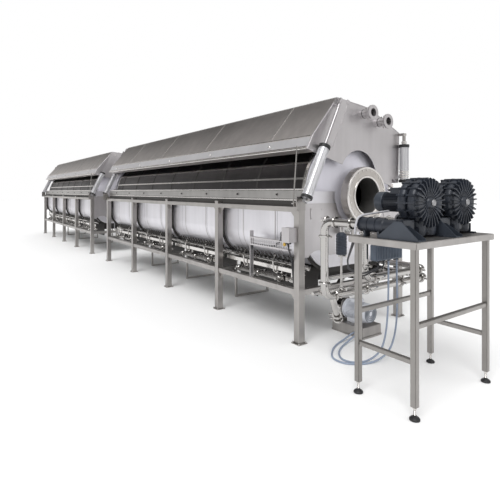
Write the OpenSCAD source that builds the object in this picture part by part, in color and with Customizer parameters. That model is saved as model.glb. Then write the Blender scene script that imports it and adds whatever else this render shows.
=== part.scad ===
// Rotary drum blanching line: two drum units in line, with a blower stand at the infeed end.
// X runs along the line, Y to the back and Z up.
// The positions below are measured from the foot of the infeed unit's front leg;
// at_line() then moves the whole line so that the origin is under its middle, on the floor.

/* [Frame] */
// Number of legs along one side of a unit
legs = 5; // [3:1:5]
// Distance from one leg to the next
bay = 1619; // [1610:1:1630]
// Width of a square leg tube
leg_w = 80; // [76:1:84]
// Height of the legs
leg_h = 1465; // [1460:1:1470]
// Distance between the front and the back row of legs
depth = 1700; // [1696:1:1704]
// Distance between the two units, from leg 1 to leg 1
unit_pitch = 7867; // [7850:1:7900]

/* [Drum] */
// Outer radius of the perforated drum
drum_r = 740; // [730:1:740]
// Height of the drum axis
axis_z = 1550; // [1548:1:1552]
// Depth of the helical flight inside the drum
flight_d = 330; // [300:10:360]
// Turns of the helical flight
flight_turns = 8; // [4:1:9]
// Radius of the collars that the product passes through
collar_ri = 205; // [195:1:210]

/* [Tank] */
// Distance from the middle of the tank to its side wall
tank_half = 770; // [765:1:775]
// Radius of the tank's lower corners
tank_corner = 350; // [330:1:360]
// Height of the tank's underside
tank_bottom = 760; // [750:1:765]

/* [Hood] */
// How far the hood is swung open, in degrees
hood_open = 15; // [14:0.5:16]
// Thickness of the hood's sheet
sheet = 4; // [3:1:5]

/* [Blower stand] */
// Height of the table top
table_z = 1245; // [1240:1:1250]
// Width of the table along X
table_w = 607; // [600:1:615]
// Radius of a blower's ring casing
blower_r = 190; // [180:1:195]

/* [Hidden] */
$fn = 96;
table_x0 = 1013;
table_x1 = table_x0 + table_w;
table_y0 = -396;
table_y1 = 722;
table_tube = 45;
// Middles of the table's legs
TABLE_X = [table_x0 + 62, table_x1 - 47];
TABLE_Y = [table_y0 + 50, table_y1 - 50];
foot_w = 120;
foot_t = 10;
tube_t = 4;
top_rail_z = 1408;
low_rail_z = 534;
rail_w = 60;
end_out = 345;
line_x0 = -unit_pitch - (legs - 1) * bay - end_out;
mid_x = (line_x0 + table_x1) / 2;
mid_y = (table_y0 + depth + foot_w / 2) / 2;
axis_y = depth / 2;
unit_len = (legs - 1) * bay;
drum_x0 = -unit_len + 226;
drum_x1 = -50;
head_t = 6;
hinge_y = 1650;
hinge_z = 1660;
hinge_r = 12;
tank_t = 4;
rim_z = 1628;
arch_r = 345;
// Half the gap at a weld between two strips, and the same as a turn round the tank's corners
seam = 0.2;
seam_turn = 0.04;
plate_x = 75;
collar_out = 200;
lift_x = 150;
// Outline of the closed hood, in Y and Z, from the front lip over the roof to the back edge
HOOD = [[96, 1612], [-16, 1614], [21, 1777], [271, 2305], [820, 2392], [1440, 2300], [1585, 1690]];
HOOD_MID = [820, 1900];
LIFT_BASE = [-50, 1510];
LIFT_END = [470, 2580];
LIFT_BODY = 636;
LIFT_LEN = norm(LIFT_END - LIFT_BASE);
LIFT_TILT = atan2(LIFT_END[1] - LIFT_BASE[1], LIFT_END[0] - LIFT_BASE[0]);
PROP_FOOT = [-58, 1475];
PROP_TOP = [-5, 2080];
// Steam pipes along the tank, and the tube packs below them
steam_y = 195;
steam_z = 760;
pack_z = 595;
// Vent stubs in the hood's end plate
vent_y = 142;
vent_z = 2268;
vent_r = 52;
// Lifting cylinders
barrel_r = 50;
cap_r = 58;
rod_r = 20;
back_y = 1615;
wheel_r = 75;
axle_r = 15;
band_r = 325;
WHEEL_Y = (band_r + wheel_r + 0.5) * sin(35);
WHEEL_Z = axis_z - (band_r + wheel_r + 0.5) * cos(35);
BLOWER_Y = [0, 500];
blower_z = 1512;
pipe_r = 35;
PUMP = [0, 780, 250];
// Route of each hose, from the control box down to the floor and back to the pump
HOSE_A = [[760, 470, 930], [760, 470, 880], [761, 468, 780], [764, 463, 660], [768, 454, 540],
    [772, 440, 420], [775, 420, 300], [775, 390, 190], [771, 345, 105], [762, 280, 55],
    [745, 200, 25], [718, 130, 12], [680, 70, 10], [620, 35, 10], [550, 40, 10],
    [480, 85, 10], [420, 150, 10], [370, 225, 10], [330, 305, 10], [300, 390, 14],
    [285, 470, 28], [280, 545, 50], [280, 590, 60], [280, 620, 60]];
HOSE_B = [[760, 600, 930], [760, 600, 880], [763, 598, 780], [770, 592, 660], [780, 580, 540],
    [790, 562, 420], [798, 536, 300], [802, 498, 190], [804, 440, 105], [802, 365, 55],
    [794, 280, 26], [775, 190, 12], [745, 105, 10], [700, 35, 10], [640, -15, 10],
    [570, -30, 10], [495, -15, 10], [430, 35, 10], [370, 105, 10], [315, 185, 10],
    [270, 275, 10], [240, 365, 12], [228, 450, 24], [225, 540, 50], [225, 590, 60],
    [225, 620, 60]];
hose_r = 9;

UNIT_NODES = ["legs", "rails", "cross_beams", "tank", "cradles", "end_skirts", "sump_pans",
    "steam_pipes", "hood_panels", "hood_end_plates", "drum_shell", "drum_flight", "drum_bars",
    "drum_collars", "frame_brackets", "idler_wheels", "drive_wheels", "gearmotor",
    "lift_cylinders", "lift_rods", "back_cylinders", "back_rods", "hood_prop"];
STAND_NODES = ["wiring", "table_frame", "table_top", "levelling_feet", "blower_casings",
    "blower_motors", "front_impeller", "back_impeller", "silencers", "air_pipes",
    "control_box", "hoses", "pump", "pump_impeller"];

// ---- placing and plain shapes ----

module at_line(u = 0) translate([-mid_x - u * unit_pitch, -mid_y, 0]) children();

module block(x0, x1, y0, y1, z0, z1) translate([x0, y0, z0]) cube([x1 - x0, y1 - y0, z1 - z0]);

module tube_x(x0, x1, y, z, w, h, t) difference() {
    block(x0, x1, y - w / 2, y + w / 2, z - h / 2, z + h / 2);
    block(x0 - 1, x1 + 1, y - w / 2 + t, y + w / 2 - t, z - h / 2 + t, z + h / 2 - t);
}

module tube_y(y0, y1, x, z, w, h, t) difference() {
    block(x - w / 2, x + w / 2, y0, y1, z - h / 2, z + h / 2);
    block(x - w / 2 + t, x + w / 2 - t, y0 - 1, y1 + 1, z - h / 2 + t, z + h / 2 - t);
}

module tube_z(z0, z1, x, y, w, t) difference() {
    block(x - w / 2, x + w / 2, y - w / 2, y + w / 2, z0, z1);
    block(x - w / 2 + t, x + w / 2 - t, y - w / 2 + t, y + w / 2 - t, z0 + t, z1 + 1);
}

module rod_x(x0, x1, y, z, r) translate([x0, y, z]) rotate([0, 90, 0]) cylinder(h = x1 - x0, r = r);
module rod_y(y0, y1, x, z, r) translate([x, y1, z]) rotate([90, 0, 0]) cylinder(h = y1 - y0, r = r);
module rod_z(z0, z1, x, y, r) translate([x, y, z0]) cylinder(h = z1 - z0, r = r);

module ring_x(x0, x1, y, z, ro, ri) difference() {
    rod_x(x0, x1, y, z, ro);
    rod_x(x0 - 1, x1 + 1, y, z, ri);
}

// Draws a flat shape in the Y-Z plane and gives it a thickness along X
module along_x(x0, x1) translate([x0, 0, 0]) rotate([90, 0, 90]) linear_extrude(x1 - x0) children();

// A rod in the Y-Z plane from point a, at angle tilt above +Y
module slanted(a, tilt, from, to, r) translate([0, a[0], a[1]]) rotate([tilt - 90, 0, 0])
    translate([0, 0, from]) cylinder(h = to - from, r = r);

// A block w along X and d across, on the same slanted axis as slanted()
module slanted_block(a, tilt, from, to, w, d) translate([0, a[0], a[1]]) rotate([tilt - 90, 0, 0])
    translate([-w / 2, -d / 2, from]) cube([w, d, to - from]);

// Swings the closed hood to the angle it is shown at
module swung_open() translate([0, hinge_y, hinge_z]) rotate([-hood_open, 0, 0])
    translate([0, -hinge_y, -hinge_z]) children();

function leg_x(i) = -i * bay;

// Middle of hinge i along the hood's back edge
function hinge_x(i) = -100 - i * (unit_len - 200) / (legs - 1);

// ---- frame ----

module legs_of(u) color("silver") at_line(u)
    for (i = [0 : legs - 1]) for (y = [0, depth]) {
        tube_z(foot_t, leg_h, leg_x(i), y, leg_w, tube_t);
        block(leg_x(i) - foot_w / 2, leg_x(i) + foot_w / 2, y - foot_w / 2, y + foot_w / 2,
            0, foot_t);
    }

module rails_of(u) color("silver") at_line(u)
    for (i = [1 : legs - 1]) for (y = [0, depth]) {
        tube_x(leg_x(i) + leg_w / 2, leg_x(i - 1) - leg_w / 2, y, top_rail_z, leg_w, 54, tube_t);
        tube_x(leg_x(i) + leg_w / 2, leg_x(i - 1) - leg_w / 2, y, low_rail_z, rail_w, rail_w, tube_t);
    }

module cross_beams_of(u) color("silver") at_line(u) {
    for (i = [0 : legs - 1]) 
        tube_y(leg_w / 2, depth - leg_w / 2, leg_x(i), low_rail_z, rail_w, rail_w, tube_t);
    for (i = [1 : legs - 2]) {
        for (y = [550, 1150]) block(leg_x(i) - 415, leg_x(i) - 385, y - 15, y + 15, 30, 599);
        block(leg_x(i) - 415, leg_x(i) - 385, 535, 1165, 0, 30);
    }
}

// ---- tank ----

// Upright trough outline: straight sides, round lower corners, flat bottom
module trough(half, bottom, corner, top) {
    for (s = [-1, 1]) translate([axis_y + s * (half - corner), bottom + corner]) circle(r = corner);
    translate([axis_y - half + corner, bottom]) square([2 * (half - corner), corner]);
    translate([axis_y - half, bottom + corner]) square([2 * half, top - bottom - corner]);
}

// Runs its children as they are and mirrored front to back
module both_sides() for (s = [0, 1]) translate([0, 2 * s * axis_y, 0]) mirror([0, s, 0]) children();

// Part of a ring in the Y-Z plane, from angle a to angle b
module arc_strip(r, t, a, b) difference() {
    circle(r = r + t);
    circle(r = r);
    rotate(b) translate([-2 * r, 0]) square([4 * r, 2 * r]);
    rotate(a) translate([-2 * r, -2 * r]) square([4 * r, 2 * r]);
}

// Strips of sheet round a trough, t thick outwards from it, with a weld seam between each two
module trough_strips(half, bottom, corner, top, t, floor_t, x0, x1) {
    both_sides() {
        block(x0, x1, axis_y - half - t, axis_y - half, bottom + corner + seam, top);
        for (a = [180 : 30 : 240]) along_x(x0, x1)
            translate([axis_y - half + corner, bottom + corner])
                arc_strip(corner, t, a + seam_turn, a + 30 - seam_turn);
    }
    block(x0, x1, axis_y - half + corner + seam, axis_y + half - corner - seam,
        bottom - floor_t, bottom);
}

// Band of the tank's end sheet, between two distances from the tank's middle
module end_sheet(x, from, to) along_x(x, x + tank_t) intersection() {
    difference() {
        trough(tank_half - tank_t - seam, tank_bottom + tank_t + seam, tank_corner - tank_t - seam,
            1600);
        translate([axis_y, axis_z]) circle(r = arch_r);
        translate([axis_y - arch_r, axis_z]) square([2 * arch_r, 200]);
    }
    translate([axis_y + from + seam, 0]) square([to - from - 2 * seam, 2000]);
}

module tank_of(u) color("lavender") at_line(u) {
    trough_strips(tank_half - tank_t, tank_bottom + tank_t, tank_corner - tank_t, rim_z,
        tank_t, tank_t, -unit_len - 30, 30);
    for (x = [-unit_len - 30, 30 - tank_t]) both_sides() {
        end_sheet(x, 0, arch_r / 2);
        end_sheet(x, arch_r / 2, arch_r);
        end_sheet(x, arch_r, tank_half);
    }
    both_sides() difference() {
        block(-unit_len - 30, 30, 30, axis_y - tank_half - seam, 1505, rim_z);
        block(-unit_len - 31, 31, 34, axis_y - tank_half - 4 - seam, 1509, rim_z - 4);
    }
    for (i = [0 : legs - 1]) {
        rod_x(hinge_x(i) - 60, hinge_x(i) - 1, hinge_y, hinge_z, hinge_r);
        block(hinge_x(i) - 60, hinge_x(i) - 1, hinge_y - 8, hinge_y + 8, rim_z + seam, hinge_z);
    }
}

// Thick plates that carry the tank at each pair of legs
module cradles_of(u) color("dimgray") at_line(u) for (i = [0 : legs - 1])
    trough_strips(tank_half + 0.5, tank_bottom - 0.5, tank_corner + 0.5, 1380, 35.5, 59.5,
        leg_x(i) - 6, leg_x(i) + 6);

module end_skirts_of(u) color("gainsboro") at_line(u)
    for (x = [34, -unit_len - 40]) along_x(x, x + 6) difference() {
        translate([leg_w / 2 + 1, 900]) square([depth - leg_w - 2, 570]);
        translate([axis_y, axis_z]) circle(r = arch_r + 5);
        for (s = [-1, 1]) translate([axis_y + s * 620, 790]) circle(r = 175);
        translate([axis_y - 350, 900]) square([700, 230]);
    }

module sump_pans_of(u) color("black") at_line(u)
    for (i = [1 : legs - 1]) difference() {
        block(leg_x(i) + 120, leg_x(i - 1) - 120, 330, depth - 330, 600, 755);
        block(leg_x(i) + 124, leg_x(i - 1) - 124, 334, depth - 334, 604, 756);
    }

module steam_pipes_of(u) color("silver") at_line(u) {
    for (y = [steam_y, depth - steam_y]) rod_x(-unit_len + 60, -60, y, steam_z, 28);
    for (i = [1 : legs - 1]) {
        for (x = [leg_x(i) + 500, leg_x(i) + 1100]) rod_z(pack_z + 5, steam_z - 10, x, steam_y, 14);
        for (y = [110, 160, 210]) rod_x(leg_x(i) + 330, leg_x(i) + 1180, y, pack_z, 22);
        for (x = [leg_x(i) + 290, leg_x(i) + 1180]) 
            block(x, x + 40, 85, 235, pack_z - 27, pack_z + 27);
    }
}

// ---- hood ----

function toward(p, q, d) = p + d * (q - p) / norm(q - p);

// One bent strip of hood sheet, through outline points a to b
module hood_strip(a, b) along_x(-unit_len - plate_x, plate_x) polygon(concat(
    [for (i = [a : b]) HOOD[i]], [for (i = [b : -1 : a]) toward(HOOD[i], HOOD_MID, sheet)]));

module hood_panels_of(u) color("rosybrown") at_line(u) swung_open() {
    hood_strip(0, 3);
    hood_strip(3, 5);
    hood_strip(5, 6);
    for (i = [0 : legs - 1]) {
        rod_x(hinge_x(i) + 1, hinge_x(i) + 60, hinge_y, hinge_z, hinge_r);
        block(hinge_x(i) + 1, hinge_x(i) + 60, 1581, hinge_y, 1652, 1692);
    }
}

// A point of the open hood, carried to where it is when the hood is closed
function when_closed(p) = let (y = p[0] - hinge_y, z = p[1] - hinge_z)
    [hinge_y + y * cos(hood_open) - z * sin(hood_open),
     hinge_z + y * sin(hood_open) + z * cos(hood_open)];

module hood_end_plates_of(u) color("lightgray") at_line(u) swung_open() {
    lug = when_closed(LIFT_END);
    for (x = [plate_x, -unit_len - plate_x - 8]) along_x(x, x + 8) difference() {
        polygon(concat(HOOD, [[1585, 1612]]));
        translate([axis_y, axis_z]) circle(r = 310);
        translate([1450, 1600]) square([140, 100]);
    }
    for (y = [axis_y - vent_y, axis_y + vent_y]) difference() {
        union() {
            rod_x(plate_x + 8, plate_x + 175, y, vent_z, vent_r);
            rod_x(plate_x + 155, plate_x + 175, y, vent_z, 85);
        }
        rod_x(plate_x + 9, plate_x + 176, y, vent_z, vent_r - 6);
    }
    for (x = [plate_x + 8, -unit_len - plate_x - 48]) difference() {
        block(x, x + 40, lug[0] - 34, lug[0] + 34, lug[1] - 34, lug[1] + 34);
        rod_x(x - 1, x + 41, lug[0], lug[1], 21);
    }
}

// ---- drum ----

module drum_shell_of(u) color("dimgray") at_line(u) {
    ring_x(drum_x0, drum_x1, axis_y, axis_z, drum_r - 10, drum_r - 14);
    for (x = [drum_x0, drum_x1 - head_t])
        ring_x(x, x + head_t, axis_y, axis_z, drum_r - 14.2, collar_ri + 8);
}

// Helical flight: a ribbon from the drum wall towards its axis
module helix(r_in, r_out, x_len, turns, t) {
    n = turns * 20;
    pts = [for (i = [0 : n]) let (a = 360 * turns * i / n, x = x_len * i / n)
        for (q = [[r_in, 0], [r_out, 0], [r_out, t], [r_in, t]])
            [x + q[1], q[0] * cos(a), q[0] * sin(a)]];
    sides = [for (i = [0 : n - 1]) for (k = [0 : 3])
        let (p = 4 * i + k, q = 4 * i + (k + 1) % 4) for (f = [[p, q, q + 4], [p, q + 4, p + 4]]) f];
    ends = [[0, 3, 2], [0, 2, 1], [4 * n, 4 * n + 1, 4 * n + 2], [4 * n, 4 * n + 2, 4 * n + 3]];
    polyhedron(pts, concat(sides, ends), convexity = 10);
}

module drum_flight_of(u) color("darkgray") at_line(u) translate([drum_x0 + 20, axis_y, axis_z])
    helix(drum_r - 14 - flight_d, drum_r - 16, drum_x1 - drum_x0 - 45, flight_turns, 5);

module drum_bars_of(u) color("gainsboro") at_line(u)
    for (a = [0 : 15 : 345]) translate([0, axis_y, axis_z]) rotate([a, 0, 0])
        block(drum_x0 + 2, drum_x1 - 2, -11, 11, drum_r - 9.8, drum_r);

// A collar from x_in at the drum head, out to x_out, with a hollow band that the wheels carry
module collar(x_in, x_out) {
    d = sign(x_out - x_in);
    module ring(from, to, ro, ri) ring_x(min(x_out - d * from, x_out - d * to),
        max(x_out - d * from, x_out - d * to), axis_y, axis_z, ro, ri);
    ring(0, abs(x_out - x_in), collar_ri + 8, collar_ri);
    ring(0, 10, band_r, collar_ri + 7);
    ring(90, 100, band_r, collar_ri + 7);
    ring(9, 91, band_r, band_r - 8);
}

module drum_collars_of(u) color("silver") at_line(u) {
    collar(drum_x1 - head_t, collar_out);
    collar(drum_x0 + head_t, -unit_len - collar_out);
}

// ---- drum drive and wheels ----

// Runs its children at the infeed end of a unit, and mirrored at the outfeed end
module both_ends() {
    children();
    translate([-unit_len, 0, 0]) mirror([1, 0, 0]) children();
}

module frame_brackets_of(u) color("gray") at_line(u) both_ends() {
    for (s = [-1, 1]) {
        y = axis_y + s * WHEEL_Y;
        block(40.5, 48.5, y - 45, y + 45, WHEEL_Z - 190, WHEEL_Z - 100);
        block(40.5, 215, y - 45, y + 45, WHEEL_Z - 110, WHEEL_Z - 100);
        for (x = [108, 198]) difference() {
            block(x, x + 8, y - 40, y + 40, WHEEL_Z - 100, WHEEL_Z + 30);
            rod_x(x - 1, x + 9, y, WHEEL_Z, axle_r + 0.05);
        }
    }
    block(40.5, 82, -110, 10, 1400, 1408);
    block(74, 82, -110, 10, 1400, 1545);
    rod_x(80, 200, LIFT_BASE[0], LIFT_BASE[1], 12);
    block(-13, -5, -74, -40.5, 1440, 1490);
    rod_x(-46, -13, PROP_FOOT[0], PROP_FOOT[1], 5);
}

module wheels(s) for (x = [130, -unit_len - 180]) {
    rod_x(x, x + 50, axis_y + s * WHEEL_Y, WHEEL_Z, wheel_r);
    rod_x(x - 30, x + 80, axis_y + s * WHEEL_Y, WHEEL_Z, axle_r);
}

module idler_wheels_of(u) color("white") at_line(u) wheels(-1);

module drive_wheels_of(u) color("white") at_line(u) {
    wheels(1);
    rod_x(-unit_len - end_out + 15, -unit_len - 205, axis_y + WHEEL_Y, WHEEL_Z, axle_r);
}

module gearmotor_of(u) color("slategray") at_line(u) {
    y = axis_y + WHEEL_Y;
    difference() {
        union() {
            block(-unit_len - end_out, -unit_len - end_out + 110, y - 60, y + 60,
                WHEEL_Z - 80, WHEEL_Z + 80);
            rod_z(WHEEL_Z - 380, WHEEL_Z - 79, -unit_len - end_out + 55, y, 54);
        }
        rod_x(-unit_len - end_out + 10, -unit_len - end_out + 120, y, WHEEL_Z, axle_r + 0.05);
    }
}

// ---- lifting gear ----

module lift_cylinders_of(u) color("whitesmoke") at_line(u) both_ends() translate([lift_x, 0, 0])
    difference() {
        union() {
            slanted(LIFT_BASE, LIFT_TILT, 46, LIFT_BODY - 22, barrel_r);
            slanted(LIFT_BASE, LIFT_TILT, 24, 48, cap_r);
            slanted(LIFT_BASE, LIFT_TILT, LIFT_BODY - 24, LIFT_BODY, cap_r);
            slanted_block(LIFT_BASE, LIFT_TILT, -24, 30, 40, 48);
        }
        slanted(LIFT_BASE, LIFT_TILT, 60, LIFT_BODY + 1, rod_r + 0.5);
        rod_x(-60, 60, LIFT_BASE[0], LIFT_BASE[1], 12.5);
    }

module lift_rods_of(u) color("silver") at_line(u) both_ends() translate([lift_x, 0, 0]) {
    slanted(LIFT_BASE, LIFT_TILT, 440, LIFT_LEN - 30, rod_r);
    slanted_block(LIFT_BASE, LIFT_TILT, LIFT_LEN - 40, LIFT_LEN + 24, 44, 60);
    rod_x(-66, -22, LIFT_END[0], LIFT_END[1], 9);
}

module back_cylinders_of(u) color("whitesmoke") at_line(u) both_ends() difference() {
    union() {
        rod_z(1740, 2150, lift_x, back_y, barrel_r);
        rod_z(2150, 2177, lift_x, back_y, cap_r);
        rod_z(1716, 1741, lift_x, back_y, cap_r);
        block(83.5, 120, 1575, 1640, 1760, 1800);
    }
    rod_z(1810, 2178, lift_x, back_y, rod_r + 0.5);
}

module back_rods_of(u) color("silver") at_line(u) both_ends() {
    rod_z(1830, 2290, lift_x, back_y, rod_r);
    block(83.5, lift_x + 20, 1580, 1635, 2289, 2320);
}

module hood_prop_of(u) color("silver") at_line(u) difference() {
    d = PROP_TOP - PROP_FOOT;
    union() {
        translate([-30, 0, 0]) slanted(PROP_FOOT, atan2(d[1], d[0]), 0, norm(d), 7);
        rod_x(-44, -16, PROP_FOOT[0], PROP_FOOT[1], 12);
    }
    rod_x(-45, -15, PROP_FOOT[0], PROP_FOOT[1], 5.05);
}

// ---- blower stand ----

module table_frame() color("silver") at_line() {
    reach = table_tube / 2 + seam;
    for (x = TABLE_X) for (y = TABLE_Y) tube_z(90, table_z - 50, x, y, table_tube, 3);
    for (x = TABLE_X) tube_y(TABLE_Y[0] + reach, TABLE_Y[1] - reach, x, 652, 35, 35, 3);
    for (y = TABLE_Y) tube_x(TABLE_X[0] + reach, TABLE_X[1] - reach, y, 402, 35, 35, 3);
}

module table_top() color("silver") at_line() difference() {
    block(table_x0, table_x1, table_y0, table_y1, table_z - 50, table_z);
    block(table_x0 + 4, table_x1 - 4, table_y0 + 4, table_y1 - 4, table_z - 51, table_z - 4);
}

module levelling_feet() color("black") at_line()
    for (x = TABLE_X) for (y = TABLE_Y) {
        rod_z(0, 22, x, y, 37);
        rod_z(20, 90, x, y, 8);
    }

module blower_casings() color("darkslategray") at_line()
    for (y = BLOWER_Y) {
        difference() {
            union() {
                rod_x(1300, 1500, y, blower_z, blower_r - 12);
                for (x = [1310, 1395]) rod_x(x, x + 75, y, blower_z, blower_r);
                block(1320, 1480, y - 150, y + 150, table_z + 40, blower_z);
            }
            rod_x(1340, 1460, y, blower_z, 152);
            rod_x(1290, 1345, y, blower_z, 16);
        }
        translate([0, y, table_z]) difference() {
            block(1280, 1500, -170, 170, 0, 42);
            block(1300, 1480, -120, 120, -1, 38);
        }
    }

module blower_motors() color("darkslategray") at_line() for (y = BLOWER_Y) difference() {
    union() {
        rod_x(1090, 1299, y, blower_z, 78);
        rod_x(1010, 1092, y, blower_z, 84);
        block(1150, 1240, y - 40, y + 40, blower_z + 60, blower_z + 118);
    }
    rod_x(1030, 1300, y, blower_z, 16);
}

module impeller(y) color("gray") at_line() {
    rod_x(1380, 1420, y, blower_z, 145);
    rod_x(1040, 1382, y, blower_z, 15);
}
module front_impeller() impeller(BLOWER_Y[0]);
module back_impeller() impeller(BLOWER_Y[1]);

module silencers() color("darkslategray") at_line() for (y = BLOWER_Y) {
    rod_x(1060, 1290, y - 260, table_z + 85, 52);
    block(1290, 1310, y - 300, y - 180, table_z, table_z + 150);
    for (x = [1100, 1240]) block(x, x + 20, y - 280, y - 240, table_z, table_z + 45);
}

// A pipe along a list of points, with ball corners
module pipe(route, r) {
    for (i = [1 : len(route) - 1]) {
        d = route[i] - route[i - 1];
        translate(route[i - 1]) rotate([0, acos(d[2] / norm(d)), atan2(d[1], d[0])])
            cylinder(h = norm(d), r = r);
        if (i < len(route) - 1) translate(route[i]) sphere(r = r);
    }
}

module air_pipes() color("silver") at_line() {
    pipe([[1059, -260, 1330], [620, -260, 1330], [620, -260, 650], [620, 1350, 650],
        [-60, 1350, 650]], pipe_r);
    pipe([[1059, 240, 1330], [660, 240, 1330], [660, 240, 760], [660, 1250, 760],
        [160, 1250, 760], [44, 1250, 760]], pipe_r);
    pipe([[620, -160, 640], [560, -20, 400]], 30);
}

module control_box() color("slategray") at_line() {
    block(720, 800, 240, 640, 945, 1095);
    for (y = [470, 600]) rod_z(930, 945, 760, y, 14);
    for (y = [270, 610]) {
        block(755, 765, y - 15, y + 15, 1095, 1190);
        block(755, 1040, y - 15, y + 15, 1185, 1195);
    }
}

// Ring of points round each point of a route
function hose_ring(route, i, r) = let (
    a = route[max(i - 1, 0)], b = route[min(i + 1, len(route) - 1)], d = (b - a) / norm(b - a),
    s = cross(d, [1, 0, 1]) / norm(cross(d, [1, 0, 1])), t = cross(d, s))
    [for (k = [0 : 7]) route[i] + r * (cos(45 * k) * s + sin(45 * k) * t)];

module hose(route) {
    n = len(route);
    polyhedron([for (i = [0 : n - 1]) each hose_ring(route, i, hose_r)], concat(
        [[for (k = [0 : 7]) k]],
        [for (i = [0 : n - 2]) for (k = [0 : 7]) let (p = 8 * i + k, q = 8 * i + (k + 1) % 8)
            each [[p, q + 8, q], [p, p + 8, q + 8]]],
        [[for (k = [7 : -1 : 0]) 8 * (n - 1) + k]]));
}

module hoses() color("lightsteelblue") at_line() {
    hose(HOSE_A);
    hose(HOSE_B);
}

module pump() color("whitesmoke") at_line() {
    block(-130, 330, 620, 940, 0, 120);
    difference() {
        union() {
            rod_x(-20, 300, PUMP[1], PUMP[2], 100);
            block(20, 240, PUMP[1] - 80, PUMP[1] + 80, 120, 200);
            rod_x(-120, -20, PUMP[1], PUMP[2], 120);
            rod_z(PUMP[2] + 90, 470, -70, PUMP[1], 40);
        }
        rod_x(-100, -40, PUMP[1], PUMP[2], 100);
        rod_x(-121, -99, PUMP[1], PUMP[2], 36);
        rod_x(-60, 200, PUMP[1], PUMP[2], 16);
    }
}

module pump_impeller() color("gray") at_line() {
    rod_x(-92, -48, PUMP[1], PUMP[2], 92);
    rod_x(-60, 190, PUMP[1], PUMP[2], 15);
}

module wiring() color("silver") at_line() {
    block(-110, 15, -150, -41, 1065, 1220);
    block(-800, -112, -60, -10, 960, 964);
    for (y = [-60, -13]) block(-800, -112, y, y + 3, 964, 1060);
    block(-812, -800, -60, -10, 565, 1130);
}

// ---- the parts ----

module unit_part(name, u) {
    if (name == "legs") legs_of(u);
    if (name == "rails") rails_of(u);
    if (name == "cross_beams") cross_beams_of(u);
    if (name == "tank") tank_of(u);
    if (name == "cradles") cradles_of(u);
    if (name == "end_skirts") end_skirts_of(u);
    if (name == "sump_pans") sump_pans_of(u);
    if (name == "steam_pipes") steam_pipes_of(u);
    if (name == "hood_panels") hood_panels_of(u);
    if (name == "hood_end_plates") hood_end_plates_of(u);
    if (name == "drum_shell") drum_shell_of(u);
    if (name == "drum_flight") drum_flight_of(u);
    if (name == "drum_bars") drum_bars_of(u);
    if (name == "drum_collars") drum_collars_of(u);
    if (name == "frame_brackets") frame_brackets_of(u);
    if (name == "idler_wheels") idler_wheels_of(u);
    if (name == "drive_wheels") drive_wheels_of(u);
    if (name == "gearmotor") gearmotor_of(u);
    if (name == "lift_cylinders") lift_cylinders_of(u);
    if (name == "lift_rods") lift_rods_of(u);
    if (name == "back_cylinders") back_cylinders_of(u);
    if (name == "back_rods") back_rods_of(u);
    if (name == "hood_prop") hood_prop_of(u);
}

for (n = UNIT_NODES) {
    unit_part(n, 0);
    unit_part(n, 1);
}
wiring();
table_frame();
table_top();
levelling_feet();
blower_casings();
blower_motors();
front_impeller();
back_impeller();
silencers();
air_pipes();
control_box();
hoses();
pump();
pump_impeller();
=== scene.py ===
import math

import bmesh
import bpy
from bpy.props import FloatProperty, FloatVectorProperty, IntProperty, PointerProperty
from mathutils import Matrix, Vector


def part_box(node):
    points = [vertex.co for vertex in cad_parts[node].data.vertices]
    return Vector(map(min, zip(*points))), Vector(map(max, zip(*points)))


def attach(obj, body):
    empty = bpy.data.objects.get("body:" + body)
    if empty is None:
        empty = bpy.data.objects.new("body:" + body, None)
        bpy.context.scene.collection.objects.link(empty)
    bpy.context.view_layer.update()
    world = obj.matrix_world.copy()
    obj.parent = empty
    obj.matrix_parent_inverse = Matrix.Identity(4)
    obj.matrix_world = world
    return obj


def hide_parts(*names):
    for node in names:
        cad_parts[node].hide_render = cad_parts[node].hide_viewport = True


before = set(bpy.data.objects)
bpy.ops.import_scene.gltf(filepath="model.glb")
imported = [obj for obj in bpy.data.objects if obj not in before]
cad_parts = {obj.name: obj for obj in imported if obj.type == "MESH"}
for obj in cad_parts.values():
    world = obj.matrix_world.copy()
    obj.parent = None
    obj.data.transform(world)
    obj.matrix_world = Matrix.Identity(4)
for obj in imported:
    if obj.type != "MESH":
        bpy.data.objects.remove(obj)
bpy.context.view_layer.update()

bl_info = {
    "name": "Rotary drum blancher line",
    "version": (1, 0, 0),
    "blender": (4, 5, 0),
    "location": "View3D > Sidebar > Blancher",
    "description": "Sheet metal trim, drum, hood, pipework and blower stand around the packed frame",
    "category": "Add Mesh",
}

# ---- places, taken from the frame ----

UNITS = (("near", 0), ("far", 1))
FOOT = 0.12
LEG = 0.08
LEGS_LO, LEGS_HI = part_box("near_legs")
LEG_1_X = LEGS_HI.x - FOOT / 2
FRONT_Y = LEGS_LO.y + FOOT / 2
DEPTH = LEGS_HI.y - LEGS_LO.y - FOOT
UNIT = LEGS_HI.x - LEGS_LO.x - FOOT
BAYS = 4
BAY = UNIT / BAYS
PITCH = LEGS_HI.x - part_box("far_legs")[1].x
AXIS_Y = DEPTH / 2
AXIS_Z = (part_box("near_drum_shell")[0].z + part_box("near_drum_shell")[1].z) / 2
DRUM_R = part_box("near_drum_bars")[1].z - AXIS_Z
HINGE = Vector((0, 1.65, 1.66))
HOOD_OUTLINE = ((0.096, 1.612), (-0.016, 1.614), (0.021, 1.777), (0.271, 2.305), (0.82, 2.392),
                (1.44, 2.3), (1.585, 1.69))
HOOD_OUT = 0.075
LIFT_FOOT = Vector((0, -0.05, 1.51))
LIFT_HEAD = Vector((0, 0.47, 2.58))
LIFT_AXIS = (LIFT_HEAD - LIFT_FOOT).normalized()
LIFT_BODY = 0.636
LIFT_X = 0.15
BACK_ROD_Y = 1.615
WHEEL_RING = 0.4005
WHEEL_TURN = math.radians(35)
BLOWER_Y = (0.0, 0.5)
BLOWER_Z = 1.512
TABLE_LO, TABLE_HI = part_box("table_top")
X = Vector((1, 0, 0))
Y = Vector((0, 1, 0))
Z = Vector((0, 0, 1))


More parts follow.
